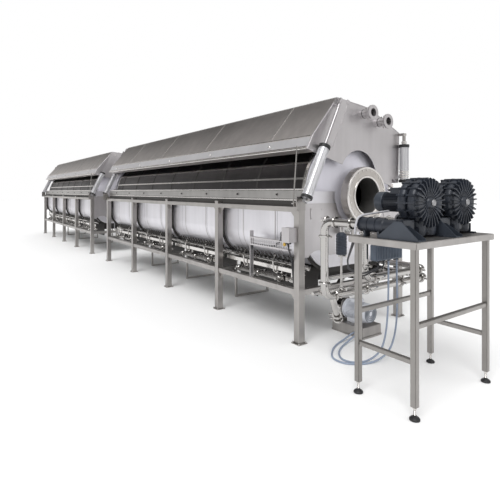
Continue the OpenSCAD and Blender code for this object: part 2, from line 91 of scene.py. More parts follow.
def at(point, unit=0):
    """A point measured from leg 1 of a unit, in the row frame."""
    return Vector((LEG_1_X + point[0] - unit * PITCH, FRONT_Y + point[1], point[2]))


def here(point):
    """A point of the row frame, measured from leg 1 of the near unit."""
    return Vector((point[0] - LEG_1_X, point[1] - FRONT_Y, point[2]))


# ---- shapes ----

def bent(points, radius, steps=6):
    """The route through points with each corner rounded to radius."""
    points = [Vector(p) for p in points]
    route = [points[0]]
    for before, corner, after in zip(points, points[1:], points[2:]):
        a, b = (before - corner).normalized(), (after - corner).normalized()
        half = a.angle(b) / 2
        cut = min(radius / math.tan(half), (before - corner).length * 0.48,
                  (after - corner).length * 0.48)
        start, end = corner + a * cut, corner + b * cut
        for i in range(steps + 1):
            t = i / steps
            route.append(start * (1 - t) ** 2 + corner * 2 * t * (1 - t) + end * t * t)
    return route + [points[-1]]


def frames(route):
    """Directions and a turning-free pair of sideways vectors at each point of a route."""
    ahead = []
    for i in range(len(route)):
        ahead.append((route[min(i + 1, len(route) - 1)] - route[max(i - 1, 0)]).normalized())
    side = ahead[0].orthogonal().normalized()
    rows = []
    for i, direction in enumerate(ahead):
        if i:
            side = ahead[i - 1].rotation_difference(direction) @ side
        side = (side - direction * side.dot(direction)).normalized()
        rows.append((direction, side, direction.cross(side)))
    return rows


class Shape:
    """Gathers the faces of one piece, in metres measured from leg 1 of its unit."""

    def __init__(self):
        self.points = []
        self.faces = []

    def add(self, points, faces):
        first = len(self.points)
        self.points += [Vector(p) for p in points]
        self.faces += [[first + i for i in f] for f in faces]
        return self

    def block(self, x0, x1, y0, y1, z0, z1, turn=None):
        corners = [Vector((x, y, z)) for x in (x0, x1) for y in (y0, y1) for z in (z0, z1)]
        if turn:
            corners = [turn @ c for c in corners]
        return self.add(corners, ((0, 1, 3, 2), (4, 6, 7, 5), (0, 4, 5, 1), (2, 3, 7, 6),
                                  (0, 2, 6, 4), (1, 5, 7, 3)))

    def slab(self, outline, x0, x1):
        """An outline in Y and Z, given a thickness along X."""
        n = len(outline)
        points = [(x, y, z) for x in (x0, x1) for y, z in outline]
        sides = [(i, (i + 1) % n, n + (i + 1) % n, n + i) for i in range(n)]
        return self.add(points, sides + [tuple(range(n)), tuple(range(2 * n - 1, n - 1, -1))])

    def lathe(self, base, axis, profile, sides=32, ring=False):
        """Turns a profile of (distance, radius) round an axis; a ring's profile is closed."""
        base, axis = Vector(base), Vector(axis).normalized()
        u = axis.orthogonal().normalized()
        v = axis.cross(u)
        points = []
        for along, radius in profile:
            for k in range(sides):
                a = 2 * math.pi * k / sides
                points.append(base + axis * along + (u * math.cos(a) + v * math.sin(a)) * radius)
        n = len(profile)
        faces = []
        for i in range(n if ring else n - 1):
            j = (i + 1) % n
            for k in range(sides):
                m = (k + 1) % sides
                faces.append((i * sides + k, i * sides + m, j * sides + m, j * sides + k))
        if not ring:
            faces.append(tuple(range(sides)))
            faces.append(tuple(range((n - 1) * sides, n * sides)))
        return self.add(points, faces)

    def tube(self, route, radius, sides=16):
        route = [Vector(p) for p in route]
        points, faces = [], []
        for point, (_, u, v) in zip(route, frames(route)):
            for k in range(sides):
                a = 2 * math.pi * k / sides
                points.append(point + (u * math.cos(a) + v * math.sin(a)) * radius)
        for i in range(len(route) - 1):
            for k in range(sides):
                m = (k + 1) % sides
                faces.append((i * sides + k, i * sides + m, (i + 1) * sides + m,
                              (i + 1) * sides + k))
        last = (len(route) - 1) * sides
        faces += [tuple(range(sides)), tuple(range(last, last + sides))]
        return self.add(points, faces)

    def clamp(self, point, axis, radius):
        """A ferrule clamp round a pipe, with its wing nut."""
        axis = Vector(axis).normalized()
        point = Vector(point)
        half = 0.011
        self.lathe(point - axis * half, axis, ((0, radius), (0, radius + 0.012), (0.006, radius + 0.017),
                   (0.016, radius + 0.017), (0.022, radius + 0.012), (0.022, radius)), 28, True)
        side = axis.cross(Z)
        side = side.normalized() if side.length > 0.1 else X
        self.lathe(point + side * (radius + 0.012), side, ((0, 0.008), (0.03, 0.008), (0.03, 0.012),
                   (0.036, 0.012)), 8)
        return self

    def swung(self):
        """Carries points of the closed hood to where the hood stands."""
        angle = bpy.context.scene.blancher_hood.open_angle
        turn = Matrix.Translation(HINGE) @ Matrix.Rotation(-angle, 4, "X") @ Matrix.Translation(-HINGE)
        self.points = [turn @ p for p in self.points]
        return self

    def both_ends(self):
        """Adds the mirror image at the outfeed end of the unit."""
        self.add([(-UNIT - p.x, p.y, p.z) for p in self.points], list(self.faces))
        return self

    def both_sides(self):
        """Adds the mirror image on the other side of the drum axis."""
        self.add([(p.x, 2 * AXIS_Y - p.y, p.z) for p in self.points], list(self.faces))
        return self

    def mesh(self, name, unit=0, bevel=0.0):
        bm = bmesh.new()
        corners = [bm.verts.new(at(p, unit)) for p in self.points]
        for f in self.faces:
            bm.faces.new([corners[i] for i in f])
        bmesh.ops.remove_doubles(bm, verts=bm.verts, dist=1e-6)
        bmesh.ops.recalc_face_normals(bm, faces=bm.faces)
        if bevel:
            sharp = [e for e in bm.edges if e.is_manifold and e.calc_face_angle() > math.radians(50)]
            bmesh.ops.bevel(bm, geom=sharp, offset=bevel, segments=2, affect="EDGES",
                            clamp_overlap=True)
        mesh = bpy.data.meshes.new(name)
        bm.to_mesh(mesh)
        bm.free()
        return mesh

    def piece(self, name, body, finish, slot, unit=0, bevel=0.0):
        """Makes the piece and hangs it on its body."""
        return settle(self.mesh(name, unit, bevel), name, body, finish)


def settle(mesh, name, body, finish):
    mesh.shade_smooth()
    mesh.set_sharp_from_angle(angle=math.radians(35))
    mesh.materials.clear()
    mesh.materials.append(bpy.data.materials[finish])
    obj = bpy.data.objects.new(name, mesh)
    bpy.context.scene.collection.objects.link(obj)
    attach(obj, body)
    return obj


def joined(meshes, name):
    """One mesh out of several."""
    bm = bmesh.new()
    for mesh in meshes:
        bm.from_mesh(mesh)
    whole = bpy.data.meshes.new(name)
    bm.to_mesh(whole)
    bm.free()
    return whole


# ---- repeats, by geometry nodes ----

def sockets(tree, wanted):
    for name, kind in wanted:
        tree.interface.new_socket(name=name, in_out="INPUT", socket_type="NodeSocket" + kind)
    tree.interface.new_socket(name="Geometry", in_out="OUTPUT", socket_type="NodeSocketGeometry")
    return tree.nodes.new("NodeGroupInput").outputs


def close_tree(tree, geometry, inputs):
    """Ends a tree in Realize Instances and Set Material."""
    real = tree.nodes.new("GeometryNodeRealizeInstances")
    coat = tree.nodes.new("GeometryNodeSetMaterial")
    out = tree.nodes.new("NodeGroupOutput")
    tree.links.new(geometry, real.inputs["Geometry"])
    tree.links.new(real.outputs["Geometry"], coat.inputs["Geometry"])
    tree.links.new(inputs["Finish"], coat.inputs["Material"])
    tree.links.new(coat.outputs["Geometry"], out.inputs["Geometry"])
    return tree


def row_tree():
    """Copies a shape along a straight row."""
    tree = bpy.data.node_groups.new("Row of shapes", "GeometryNodeTree")
    inputs = sockets(tree, (("Shape", "Object"), ("Count", "Int"), ("Start", "Vector"),
                            ("Step", "Vector"), ("Finish", "Material")))
    line = tree.nodes.new("GeometryNodeMeshLine")
    shape = tree.nodes.new("GeometryNodeObjectInfo")
    copies = tree.nodes.new("GeometryNodeInstanceOnPoints")
    tree.links.new(inputs["Count"], line.inputs["Count"])
    tree.links.new(inputs["Start"], line.inputs["Start Location"])
    tree.links.new(inputs["Step"], line.inputs["Offset"])
    tree.links.new(inputs["Shape"], shape.inputs["Object"])
    tree.links.new(line.outputs["Mesh"], copies.inputs["Points"])
    tree.links.new(shape.outputs["Geometry"], copies.inputs["Instance"])
    return close_tree(tree, copies.outputs["Instances"], inputs)


def ring_tree():
    """Copies a shape round a circle whose axis lies along X; the shape's own X points outwards."""
    tree = bpy.data.node_groups.new("Ring of shapes", "GeometryNodeTree")
    inputs = sockets(tree, (("Shape", "Object"), ("Count", "Int"), ("Radius", "Float"),
                            ("Centre", "Vector"), ("Turn", "Rotation"), ("Finish", "Material")))
    circle = tree.nodes.new("GeometryNodeMeshCircle")
    shape = tree.nodes.new("GeometryNodeObjectInfo")
    where = tree.nodes.new("GeometryNodeInputPosition")
    face_out = tree.nodes.new("FunctionNodeAlignRotationToVector")
    copies = tree.nodes.new("GeometryNodeInstanceOnPoints")
    place = tree.nodes.new("GeometryNodeTransform")
    face_out.axis = "X"
    face_out.pivot_axis = "Z"
    tree.links.new(inputs["Count"], circle.inputs["Vertices"])
    tree.links.new(inputs["Radius"], circle.inputs["Radius"])
    tree.links.new(inputs["Shape"], shape.inputs["Object"])
    tree.links.new(where.outputs["Position"], face_out.inputs["Vector"])
    tree.links.new(circle.outputs["Mesh"], copies.inputs["Points"])
    tree.links.new(shape.outputs["Geometry"], copies.inputs["Instance"])
    tree.links.new(face_out.outputs["Rotation"], copies.inputs["Rotation"])
    tree.links.new(copies.outputs["Instances"], place.inputs["Geometry"])
    tree.links.new(inputs["Centre"], place.inputs["Translation"])
    tree.links.new(inputs["Turn"], place.inputs["Rotation"])
    return close_tree(tree, place.outputs["Geometry"], inputs)


def grown(tree_name, shape, **values):
    """Runs a tree on a shape and returns the plain mesh that it makes."""
    tool = bpy.data.objects.new("tool", shape)
    holder = bpy.data.objects.new("holder", bpy.data.meshes.new("holder"))
    for obj in (tool, holder):
        bpy.context.scene.collection.objects.link(obj)
    made_by = holder.modifiers.new("repeat", "NODES")
    made_by.node_group = bpy.data.node_groups[tree_name]
    values["Shape"] = tool
    for socket in made_by.node_group.interface.items_tree:
        if socket.in_out == "INPUT" and socket.name in values:
            made_by[socket.identifier] = values[socket.name]
    seen = holder.evaluated_get(bpy.context.evaluated_depsgraph_get())
    mesh = bpy.data.meshes.new_from_object(seen)
    holder.modifiers.clear()
    bpy.data.objects.remove(holder)
    bpy.data.objects.remove(tool)
    return mesh


def row(shape, finish, start, step, count, unit=0):
    """Shape is drawn round the origin of its own; start is measured from leg 1."""
    return grown("Row of shapes", shape, Count=count, Start=tuple(at(start, unit)),
                 Step=tuple(step), Finish=bpy.data.materials[finish])


def ring(shape, finish, centre, radius, count, unit=0, turn=(0, math.pi / 2, 0)):
    return grown("Ring of shapes", shape, Count=count, Radius=radius, Turn=turn,
                 Centre=tuple(at(centre, unit)), Finish=bpy.data.materials[finish])


def loose(shape, name="shape"):
    """A small mesh round its own origin, for repeating."""
    mesh = bpy.data.meshes.new(name)
    mesh.from_pydata([tuple(p) for p in shape.points], [], [tuple(f) for f in shape.faces])
    bm = bmesh.new()
    bm.from_mesh(mesh)
    bmesh.ops.recalc_face_normals(bm, faces=bm.faces)
    bm.to_mesh(mesh)
    bm.free()
    return mesh


def bolt(radius=0.009, height=0.007, axis=Z):
    """A hexagon head on a washer."""
    return loose(Shape().lathe((0, 0, 0), axis, ((0, radius * 1.45), (height * 0.25, radius * 1.45)), 12)
                 .lathe(Vector(axis) * height * 0.25, axis, ((0, radius), (height, radius)), 6), "bolt")


# ---- finishes ----

def wire(tree, kind, **inputs):
    """Adds a shader node; an input is a value, or a socket to link."""
    node = tree.nodes.new("ShaderNode" + kind)
    for name, value in inputs.items():
        key = int(name[1:]) if name[0] == "i" and name[1:].isdigit() else name.replace("_", " ")
        if isinstance(value, bpy.types.NodeSocket):
            tree.links.new(value, node.inputs[key])
        else:
            node.inputs[key].default_value = value
    return node


def maths(tree, operation, a, b=0.0):
    node = wire(tree, "Math", i0=a, i1=b)
    node.operation = operation
    return node.outputs[0]


def shared_group(name, inputs, outputs):
    tree = bpy.data.node_groups.new(name, "ShaderNodeTree")
    for socket, kind in inputs:
        tree.interface.new_socket(name=socket, in_out="INPUT", socket_type="NodeSocket" + kind)
    for socket, kind in outputs:
        tree.interface.new_socket(name=socket, in_out="OUTPUT", socket_type="NodeSocket" + kind)
    return tree, tree.nodes.new("NodeGroupInput").outputs, tree.nodes.new("NodeGroupOutput").inputs


def grain_group():
    """Fine lines of rolled or ground metal, and the broad unevenness of a sheet."""
    tree, given, out = shared_group("Metal grain", (("Vector", "Vector"), ("Stretch", "Vector"),
        ("Rough low", "Float"), ("Rough high", "Float")), (("Roughness", "Float"), ("Height", "Float")))
    stretched = wire(tree, "VectorMath", i0=given["Vector"], i1=given["Stretch"])
    stretched.operation = "MULTIPLY"
    lines = wire(tree, "TexNoise", Vector=stretched.outputs[0], Scale=1.0, Detail=3.0)
    broad = wire(tree, "TexNoise", Vector=given["Vector"], Scale=1.7, Detail=2.0)
    both = maths(tree, "ADD", maths(tree, "MULTIPLY", lines.outputs["Fac"], 0.55),
                 maths(tree, "MULTIPLY", broad.outputs["Fac"], 0.45))
    rough = wire(tree, "MapRange", Value=both, i1=0.3, i2=0.7, i3=given["Rough low"],
                 i4=given["Rough high"])
    tree.links.new(rough.outputs[0], out["Roughness"])
    tree.links.new(both, out["Height"])


def cloud_group():
    """A colour that drifts between a light and a dark tone, with faint streaks down the sheet."""
    tree, given, out = shared_group("Drifting tone", (("Vector", "Vector"), ("Light", "Color"),
        ("Dark", "Color"), ("Scale", "Float"), ("Amount", "Float")), (("Color", "Color"),))
    drift = wire(tree, "TexNoise", Vector=given["Vector"], Scale=given["Scale"], Detail=4.0,
                 Roughness=0.6)
    squash = wire(tree, "VectorMath", i0=given["Vector"], i1=(9.0, 9.0, 0.7))
    squash.operation = "MULTIPLY"
    streaks = wire(tree, "TexNoise", Vector=squash.outputs[0], Scale=1.0, Detail=2.0)
    mixed = maths(tree, "ADD", maths(tree, "MULTIPLY", drift.outputs["Fac"], 0.65),
                  maths(tree, "MULTIPLY", streaks.outputs["Fac"], 0.35))
    part = wire(tree, "MapRange", Value=mixed, i1=0.35, i2=0.65, i3=0.0, i4=given["Amount"])
    colour = wire(tree, "Mix")
    colour.data_type = "RGBA"
    tree.links.new(part.outputs[0], colour.inputs[0])
    tree.links.new(given["Light"], colour.inputs[6])
    tree.links.new(given["Dark"], colour.inputs[7])
    tree.links.new(colour.outputs[2], out["Color"])


def lines_group():
    """A mask of narrow lines every pitch along one coordinate."""
    tree, given, out = shared_group("Even lines", (("Value", "Float"), ("Pitch", "Float"),
        ("Width", "Float")), (("Mask", "Float"),))
    turns = maths(tree, "DIVIDE", given["Value"], given["Pitch"])
    near = maths(tree, "ABSOLUTE", maths(tree, "SUBTRACT", maths(tree, "FRACT", turns), 0.5))
    share = maths(tree, "DIVIDE", given["Width"], given["Pitch"])
    tree.links.new(maths(tree, "LESS_THAN", near, maths(tree, "MULTIPLY", share, 0.5)), out["Mask"])


def placed_group(tree, name, **inputs):
    node = tree.nodes.new("ShaderNodeGroup")
    node.node_tree = bpy.data.node_groups[name]
    for key, value in inputs.items():
        socket = node.inputs[key.replace("_", " ")]
        if isinstance(value, bpy.types.NodeSocket):
            tree.links.new(value, socket)
        else:
            socket.default_value = value
    return node


def rgba(colour, factor=1.0):
    return (*[min(1.0, c * factor) for c in colour], 1.0)


def finish(name, colour, metallic, rough, stretch=(2, 60, 60), dark=0.72, scale=0.9, amount=1.0,
           bump=0.15, depth=0.0006, coat=0.0):
    """A finish with grain in its roughness and bump, and a tone that drifts."""
    material = bpy.data.materials.new(name)
    material.use_nodes = True
    tree = material.node_tree
    shader = tree.nodes["Principled BSDF"]
    place = tree.nodes.new("ShaderNodeTexCoord").outputs["Object"]
    tone = placed_group(tree, "Drifting tone", Vector=place, Light=rgba(colour),
                        Dark=rgba(colour, dark), Scale=scale, Amount=amount)
    grain = placed_group(tree, "Metal grain", Vector=place, Stretch=stretch, Rough_low=rough[0],
                         Rough_high=rough[1])
    height = wire(tree, "Bump", Strength=bump, Distance=depth, Height=grain.outputs["Height"])
    tree.links.new(tone.outputs["Color"], shader.inputs["Base Color"])
    tree.links.new(grain.outputs["Roughness"], shader.inputs["Roughness"])
    tree.links.new(height.outputs["Normal"], shader.inputs["Normal"])
    shader.inputs["Metallic"].default_value = metallic
    shader.inputs["Coat Weight"].default_value = coat
    return material, tree, shader, place, tone


def darkened(tree, shader, colour, mask, factor):
    """Multiplies the base colour by factor where mask is 1."""
    mix = wire(tree, "Mix")
    mix.data_type = "RGBA"
    mix.blend_type = "MULTIPLY"
    tree.links.new(mask, mix.inputs[0])
    tree.links.new(colour, mix.inputs[6])
    mix.inputs[7].default_value = (factor, factor, factor, 1.0)
    tree.links.new(mix.outputs[2], shader.inputs["Base Color"])
    return mix.outputs[2]


def perforated(name, colour, pitch, hole):
    """Drum screen: round holes on a grid that follows the drum's skin."""
    _, tree, shader, place, tone = finish(name, colour, 1.0, (0.3, 0.46), dark=0.6)
    axis = at((0, AXIS_Y, AXIS_Z))
    parts = wire(tree, "SeparateXYZ", Vector=place).outputs
    angle = maths(tree, "ARCTAN2", maths(tree, "SUBTRACT", parts[2], axis.z),
                  maths(tree, "SUBTRACT", parts[1], axis.y))
    across = maths(tree, "MULTIPLY", angle, DRUM_R)
    squares = []
    for value in (parts[0], across):
        cell = maths(tree, "SUBTRACT", maths(tree, "FRACT", maths(tree, "DIVIDE", value, pitch)), 0.5)
        squares.append(maths(tree, "POWER", maths(tree, "ABSOLUTE", cell), 2.0))
    inside = maths(tree, "LESS_THAN", maths(tree, "ADD", *squares), (hole / pitch) ** 2)
    darkened(tree, shader, tone.outputs["Color"], inside, 0.04)
    tree.links.new(maths(tree, "SUBTRACT", 1.0, inside), shader.inputs["Metallic"])


def seamed(name, colour, rough, pitch, width, dark=0.85):
    """Sheet metal with a narrow seam every pitch along the line."""
    _, tree, shader, place, tone = finish(name, colour, 0.9, rough, (30, 30, 2), dark, 0.6)
    along = wire(tree, "SeparateXYZ", Vector=place).outputs[0]
    seams = placed_group(tree, "Even lines", Value=along, Pitch=pitch, Width=width)
    darkened(tree, shader, tone.outputs["Color"], seams.outputs["Mask"], 0.55)


FINISHES = {
    "ground steel": dict(colour=(0.48, 0.46, 0.445), metallic=1.0, rough=(0.3, 0.46)),
    "ground upright steel": dict(colour=(0.48, 0.46, 0.445), metallic=1.0, rough=(0.3, 0.46),
                                 stretch=(60, 60, 2)),
    "satin sheet": dict(colour=(0.63, 0.61, 0.62), metallic=0.95, rough=(0.34, 0.5), scale=0.7,
                        stretch=(30, 30, 3), dark=0.84),
    "cover sheet": dict(colour=(0.52, 0.475, 0.45), metallic=1.0, rough=(0.27, 0.42), scale=0.35,
                        stretch=(2, 40, 40), dark=0.74),
    "dark sheet": dict(colour=(0.045, 0.042, 0.04), metallic=0.3, rough=(0.5, 0.7)),
    "head sheet": dict(colour=(0.8, 0.79, 0.86), metallic=0.45, rough=(0.42, 0.56), scale=0.7,
                       stretch=(30, 30, 3), dark=0.9),
    "lip sheet": dict(colour=(0.72, 0.71, 0.73), metallic=0.7, rough=(0.35, 0.5), scale=0.5,
                      stretch=(2, 40, 40), dark=0.85),
    "polished pipe": dict(colour=(0.54, 0.525, 0.51), metallic=1.0, rough=(0.07, 0.15), dark=0.85,
                          bump=0.05),
    "bright steel": dict(colour=(0.75, 0.73, 0.71), metallic=1.0, rough=(0.18, 0.3), dark=0.85),
    "band steel": dict(colour=(0.42, 0.41, 0.4), metallic=0.9, rough=(0.3, 0.45)),
    "collar steel": dict(colour=(0.56, 0.53, 0.5), metallic=1.0, rough=(0.26, 0.4),
                         stretch=(90, 12, 12), dark=0.8),
    "drawn aluminium": dict(colour=(0.72, 0.72, 0.74), metallic=0.9, rough=(0.28, 0.4),
                            stretch=(60, 60, 2), dark=0.9),
    "cast aluminium": dict(colour=(0.4, 0.4, 0.41), metallic=0.9, rough=(0.45, 0.6),
                           stretch=(70, 70, 70), bump=0.4, dark=0.8),
    "blower paint": dict(colour=(0.028, 0.034, 0.048), metallic=0.2, rough=(0.36, 0.52),
                         stretch=(80, 80, 80), dark=0.5, scale=4.0, bump=0.3, coat=0.15),
    "slate paint": dict(colour=(0.05, 0.06, 0.078), metallic=0.2, rough=(0.35, 0.5),
                        stretch=(80, 80, 80), dark=0.7, scale=5.0, bump=0.25, coat=0.1),
    # A darker copy of the frame steel for the table's legs and frame: painted shade of their side faces.
    "table steel with painted shade": dict(colour=(0.37, 0.355, 0.34), metallic=1.0, rough=(0.3, 0.46),
                        stretch=(60, 60, 2)),
    "motor paint": dict(colour=(0.1, 0.125, 0.165), metallic=0.2, rough=(0.35, 0.5),
                        stretch=(80, 80, 80), dark=0.7, scale=5.0, bump=0.25, coat=0.1),
    "light paint": dict(colour=(0.7, 0.72, 0.77), metallic=0.1, rough=(0.3, 0.42),
                        stretch=(60, 60, 60), dark=0.88, scale=3.0, bump=0.15, coat=0.2),
    "white polymer": dict(colour=(0.8, 0.8, 0.77), metallic=0.0, rough=(0.4, 0.55),
                          stretch=(50, 50, 50), dark=0.9, scale=5.0),
    "black polymer": dict(colour=(0.018, 0.018, 0.02), metallic=0.0, rough=(0.4, 0.58),
                          stretch=(90, 90, 90), dark=0.6, scale=6.0, bump=0.3),
    "ribbed polymer": dict(colour=(0.035, 0.045, 0.065), metallic=0.0, rough=(0.3, 0.45),
                           stretch=(90, 90, 90), dark=0.6, scale=6.0),
    "hose jacket": dict(colour=(0.3, 0.355, 0.46), metallic=0.0, rough=(0.35, 0.5),
                        stretch=(50, 50, 50), dark=0.8, scale=6.0),
    "cable jacket": dict(colour=(0.05, 0.05, 0.055), metallic=0.0, rough=(0.4, 0.55),
                         stretch=(50, 50, 50), dark=0.7, scale=6.0),
    "grey jacket": dict(colour=(0.5, 0.5, 0.53), metallic=0.0, rough=(0.4, 0.55),
                        stretch=(50, 50, 50), dark=0.85, scale=6.0),
    "brass": dict(colour=(0.75, 0.5, 0.12), metallic=1.0, rough=(0.25, 0.35), dark=0.8, scale=8.0),
    "red polymer": dict(colour=(0.5, 0.06, 0.08), metallic=0.0, rough=(0.35, 0.5),
                        stretch=(50, 50, 50), dark=0.8, scale=6.0),
}

# Cradles and sump pans take the near-black dark sheet as painted shade, for they sit in shade under the
# tank.
UNIT_COATS = {
    "legs": "ground upright steel", "rails": "ground steel", "cross_beams": "ground steel",
    "tank": "tank sheet", "cradles": "dark sheet", "end_skirts": "satin sheet",
    "sump_pans": "dark sheet", "steam_pipes": "polished pipe", "hood_panels": "cover sheet",
    "hood_end_plates": "satin sheet", "drum_shell": "drum screen", "drum_flight": "satin sheet",
    "drum_bars": "bright steel", "drum_collars": "collar steel", "frame_brackets": "ground steel",
    "idler_wheels": "white polymer", "drive_wheels": "white polymer", "gearmotor": "motor paint",
    "lift_cylinders": "drawn aluminium", "lift_rods": "satin sheet",
    "back_cylinders": "drawn aluminium", "back_rods": "polished pipe", "hood_prop": "polished pipe",
}
STAND_COATS = {
    "wiring": "satin sheet", "table_frame": "table steel with painted shade", "table_top": "ground steel",
    "levelling_feet": "black polymer", "blower_casings": "blower paint",
    "blower_motors": "blower paint", "front_impeller": "cast aluminium",
    "back_impeller": "cast aluminium", "silencers": "blower paint", "air_pipes": "polished pipe",
    "control_box": "motor paint", "hoses": "hose jacket", "pump": "light paint",
    "pump_impeller": "cast aluminium",
}


def make_finishes():
    grain_group()
    cloud_group()
    lines_group()
    metals = bpy.context.scene.blancher_metals
    tints = {"cover sheet": metals.cover, "ground steel": metals.steel,
             "ground upright steel": metals.steel, "satin sheet": metals.sheet}
    for name, values in FINISHES.items():
        values = dict(values)
        if name in tints:
            values["colour"] = tuple(tints[name])
        _, tree, shader, place, tone = finish(name, **values)
        if name == "cover sheet":
            # Painted shade: the hood's covers are darkened towards the ridge.
            height = wire(tree, "SeparateXYZ", Vector=place).outputs[2]
            upper_painted_shade = wire(tree, "MapRange", Value=height, i1=2.18, i2=2.56, i3=0.0, i4=1.0)
            darkened(tree, shader, tone.outputs["Color"], upper_painted_shade.outputs[0], 0.5)
    drum = bpy.context.scene.blancher_drum
    perforated("drum screen", (0.085, 0.078, 0.082), drum.hole_pitch, drum.hole_radius)
    seamed("tank sheet", tuple(metals.tank), (0.34, 0.48), metals.seam_pitch, 0.008)
    coats = {f"{unit}_{node}": coat for unit, _ in UNITS for node, coat in UNIT_COATS.items()}
    coats.update(STAND_COATS)
    for node, coat in coats.items():
        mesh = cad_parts[node].data
        mesh.materials.clear()
        mesh.materials.append(bpy.data.materials[coat])


# ---- unit pieces ----

def tank_trim(unit, k):
    """Rim band with its studs, and the stiffeners pressed over the tank's sheets."""
    rim = Shape()
    for z0, z1, y0 in ((1.612, 1.626, 0.018), (1.5, 1.514, 0.016)):
        rim.block(-UNIT - 0.03, 0.03, y0, 0.03, z0, z1)
    rim.both_sides()
    rim.piece(f"{unit}_rim_bars", "line", "bright steel", "brushed_steel", k, 0.002)
    band = Shape()
    band.block(-UNIT - 0.03, 0.03, 0.027, 0.0298, 1.5175, 1.6085)
    for z in (1.535, 1.56, 1.585):
        band.block(-UNIT - 0.03, 0.03, 0.0235, 0.027, z, z + 0.008)
    band.both_sides().piece(f"{unit}_rim_ribs", "line", "band steel", "brushed_steel", k, 0.001)
    # Near-black strips set into the recesses between the rim bars and the band: painted shade.
    shade = Shape()
    for z in (1.513, 1.607):
        shade.block(-UNIT - 0.03, 0.03, 0.0225, 0.0265, z, z + 0.006)
    shade.both_sides().piece(f"{unit}_rim_gaps", "line", "dark sheet", "dark_steel", k)
    stud = loose(Shape().block(-0.008, 0.008, -0.009, 0.009, -0.011, 0.011))
    count = int(UNIT / 0.8)
    studs = [row(stud, "dark sheet", (-0.4, y, 1.5645), (-0.8, 0, 0), count, k)
             for y in (0.0215, DEPTH - 0.0215)]
    settle(joined(studs, "studs"), f"{unit}_rim_studs", "line", "dark sheet")
    ribs = Shape()
    for bay in range(BAYS):
        for x in (0.5, 1.15):
            strip_over_trough(ribs, -bay * BAY - x - 0.009, -bay * BAY - x + 0.009, 0.0035)
    ribs.piece(f"{unit}_tank_stiffeners", "line", "satin sheet", "satin_sheet", k, 0.001)
    ledge = Shape().block(-UNIT + 0.04, -0.04, 0.012, 0.0795, 1.4355, 1.4475)
    ledge.block(-UNIT + 0.04, -0.04, 0.012, 0.018, 1.4475, 1.499).both_sides()
    ledge.piece(f"{unit}_tank_ledges", "line", "dark sheet", "dark_steel", k, 0.002)


def strip_over_trough(shape, x0, x1, thick):
    """A strip that follows the tank's side, corner and floor from the front to the back."""
    half, corner, low, top = 0.77, 0.35, 0.76, 1.378
    outer, inner = [], []
    for r, rows in ((corner + thick, outer), (corner, inner)):
        rows.append((AXIS_Y - half + corner - r, top))
        for i in range(9):
            a = math.pi + i * math.pi / 16
            rows.append((AXIS_Y - half + corner + r * math.cos(a), low + corner + r * math.sin(a)))
    outline = outer + [(2 * AXIS_Y - y, z) for y, z in reversed(outer)]
    back = [(2 * AXIS_Y - y, z) for y, z in inner] + list(reversed(inner))
    shape.slab(outline + back, x0, x1)


def frame_trim(unit, k):
    """Gussets, welded caps and foot bolts of the leg frame."""
    plates = Shape()
    for bay in range(BAYS):
        x = -bay * BAY
        plates.block(x - LEG / 2 - 0.004, x + LEG / 2 + 0.004, -0.044, 0.044, 1.4655, 1.4715)
        for side in (-1, 1):
            if side == 1 and bay == 0:
                continue
            for z0, z1 in ((1.38, 1.29), (0.503, 0.41)):
                corner = [(x + side * 0.041, z0), (x + side * 0.041, z1), (x + side * 0.13, z0)]
                points = [(px, y, pz) for y in (-0.005, 0.005) for px, pz in corner]
                plates.add(points, ((0, 1, 2), (3, 5, 4), (0, 3, 4, 1), (1, 4, 5, 2), (2, 5, 3, 0)))
    x = -UNIT
    plates.block(x - 0.044, x + 0.044, -0.044, 0.044, 1.4655, 1.4715)
    plates.both_sides()
    plates.piece(f"{unit}_gussets", "line", "ground steel", "brushed_steel", k, 0.0015)
    bolts = []
    for y in (-0.048, 0.048, DEPTH - 0.048, DEPTH + 0.048):
        for dx in (-0.048, 0.048):
            bolts.append(row(bolt(0.008, 0.009), "bright steel", (dx, y, 0.0102), (-BAY, 0, 0),
                             BAYS + 1, k))
    settle(joined(bolts, "bolts"), f"{unit}_foot_bolts", "line", "bright steel")


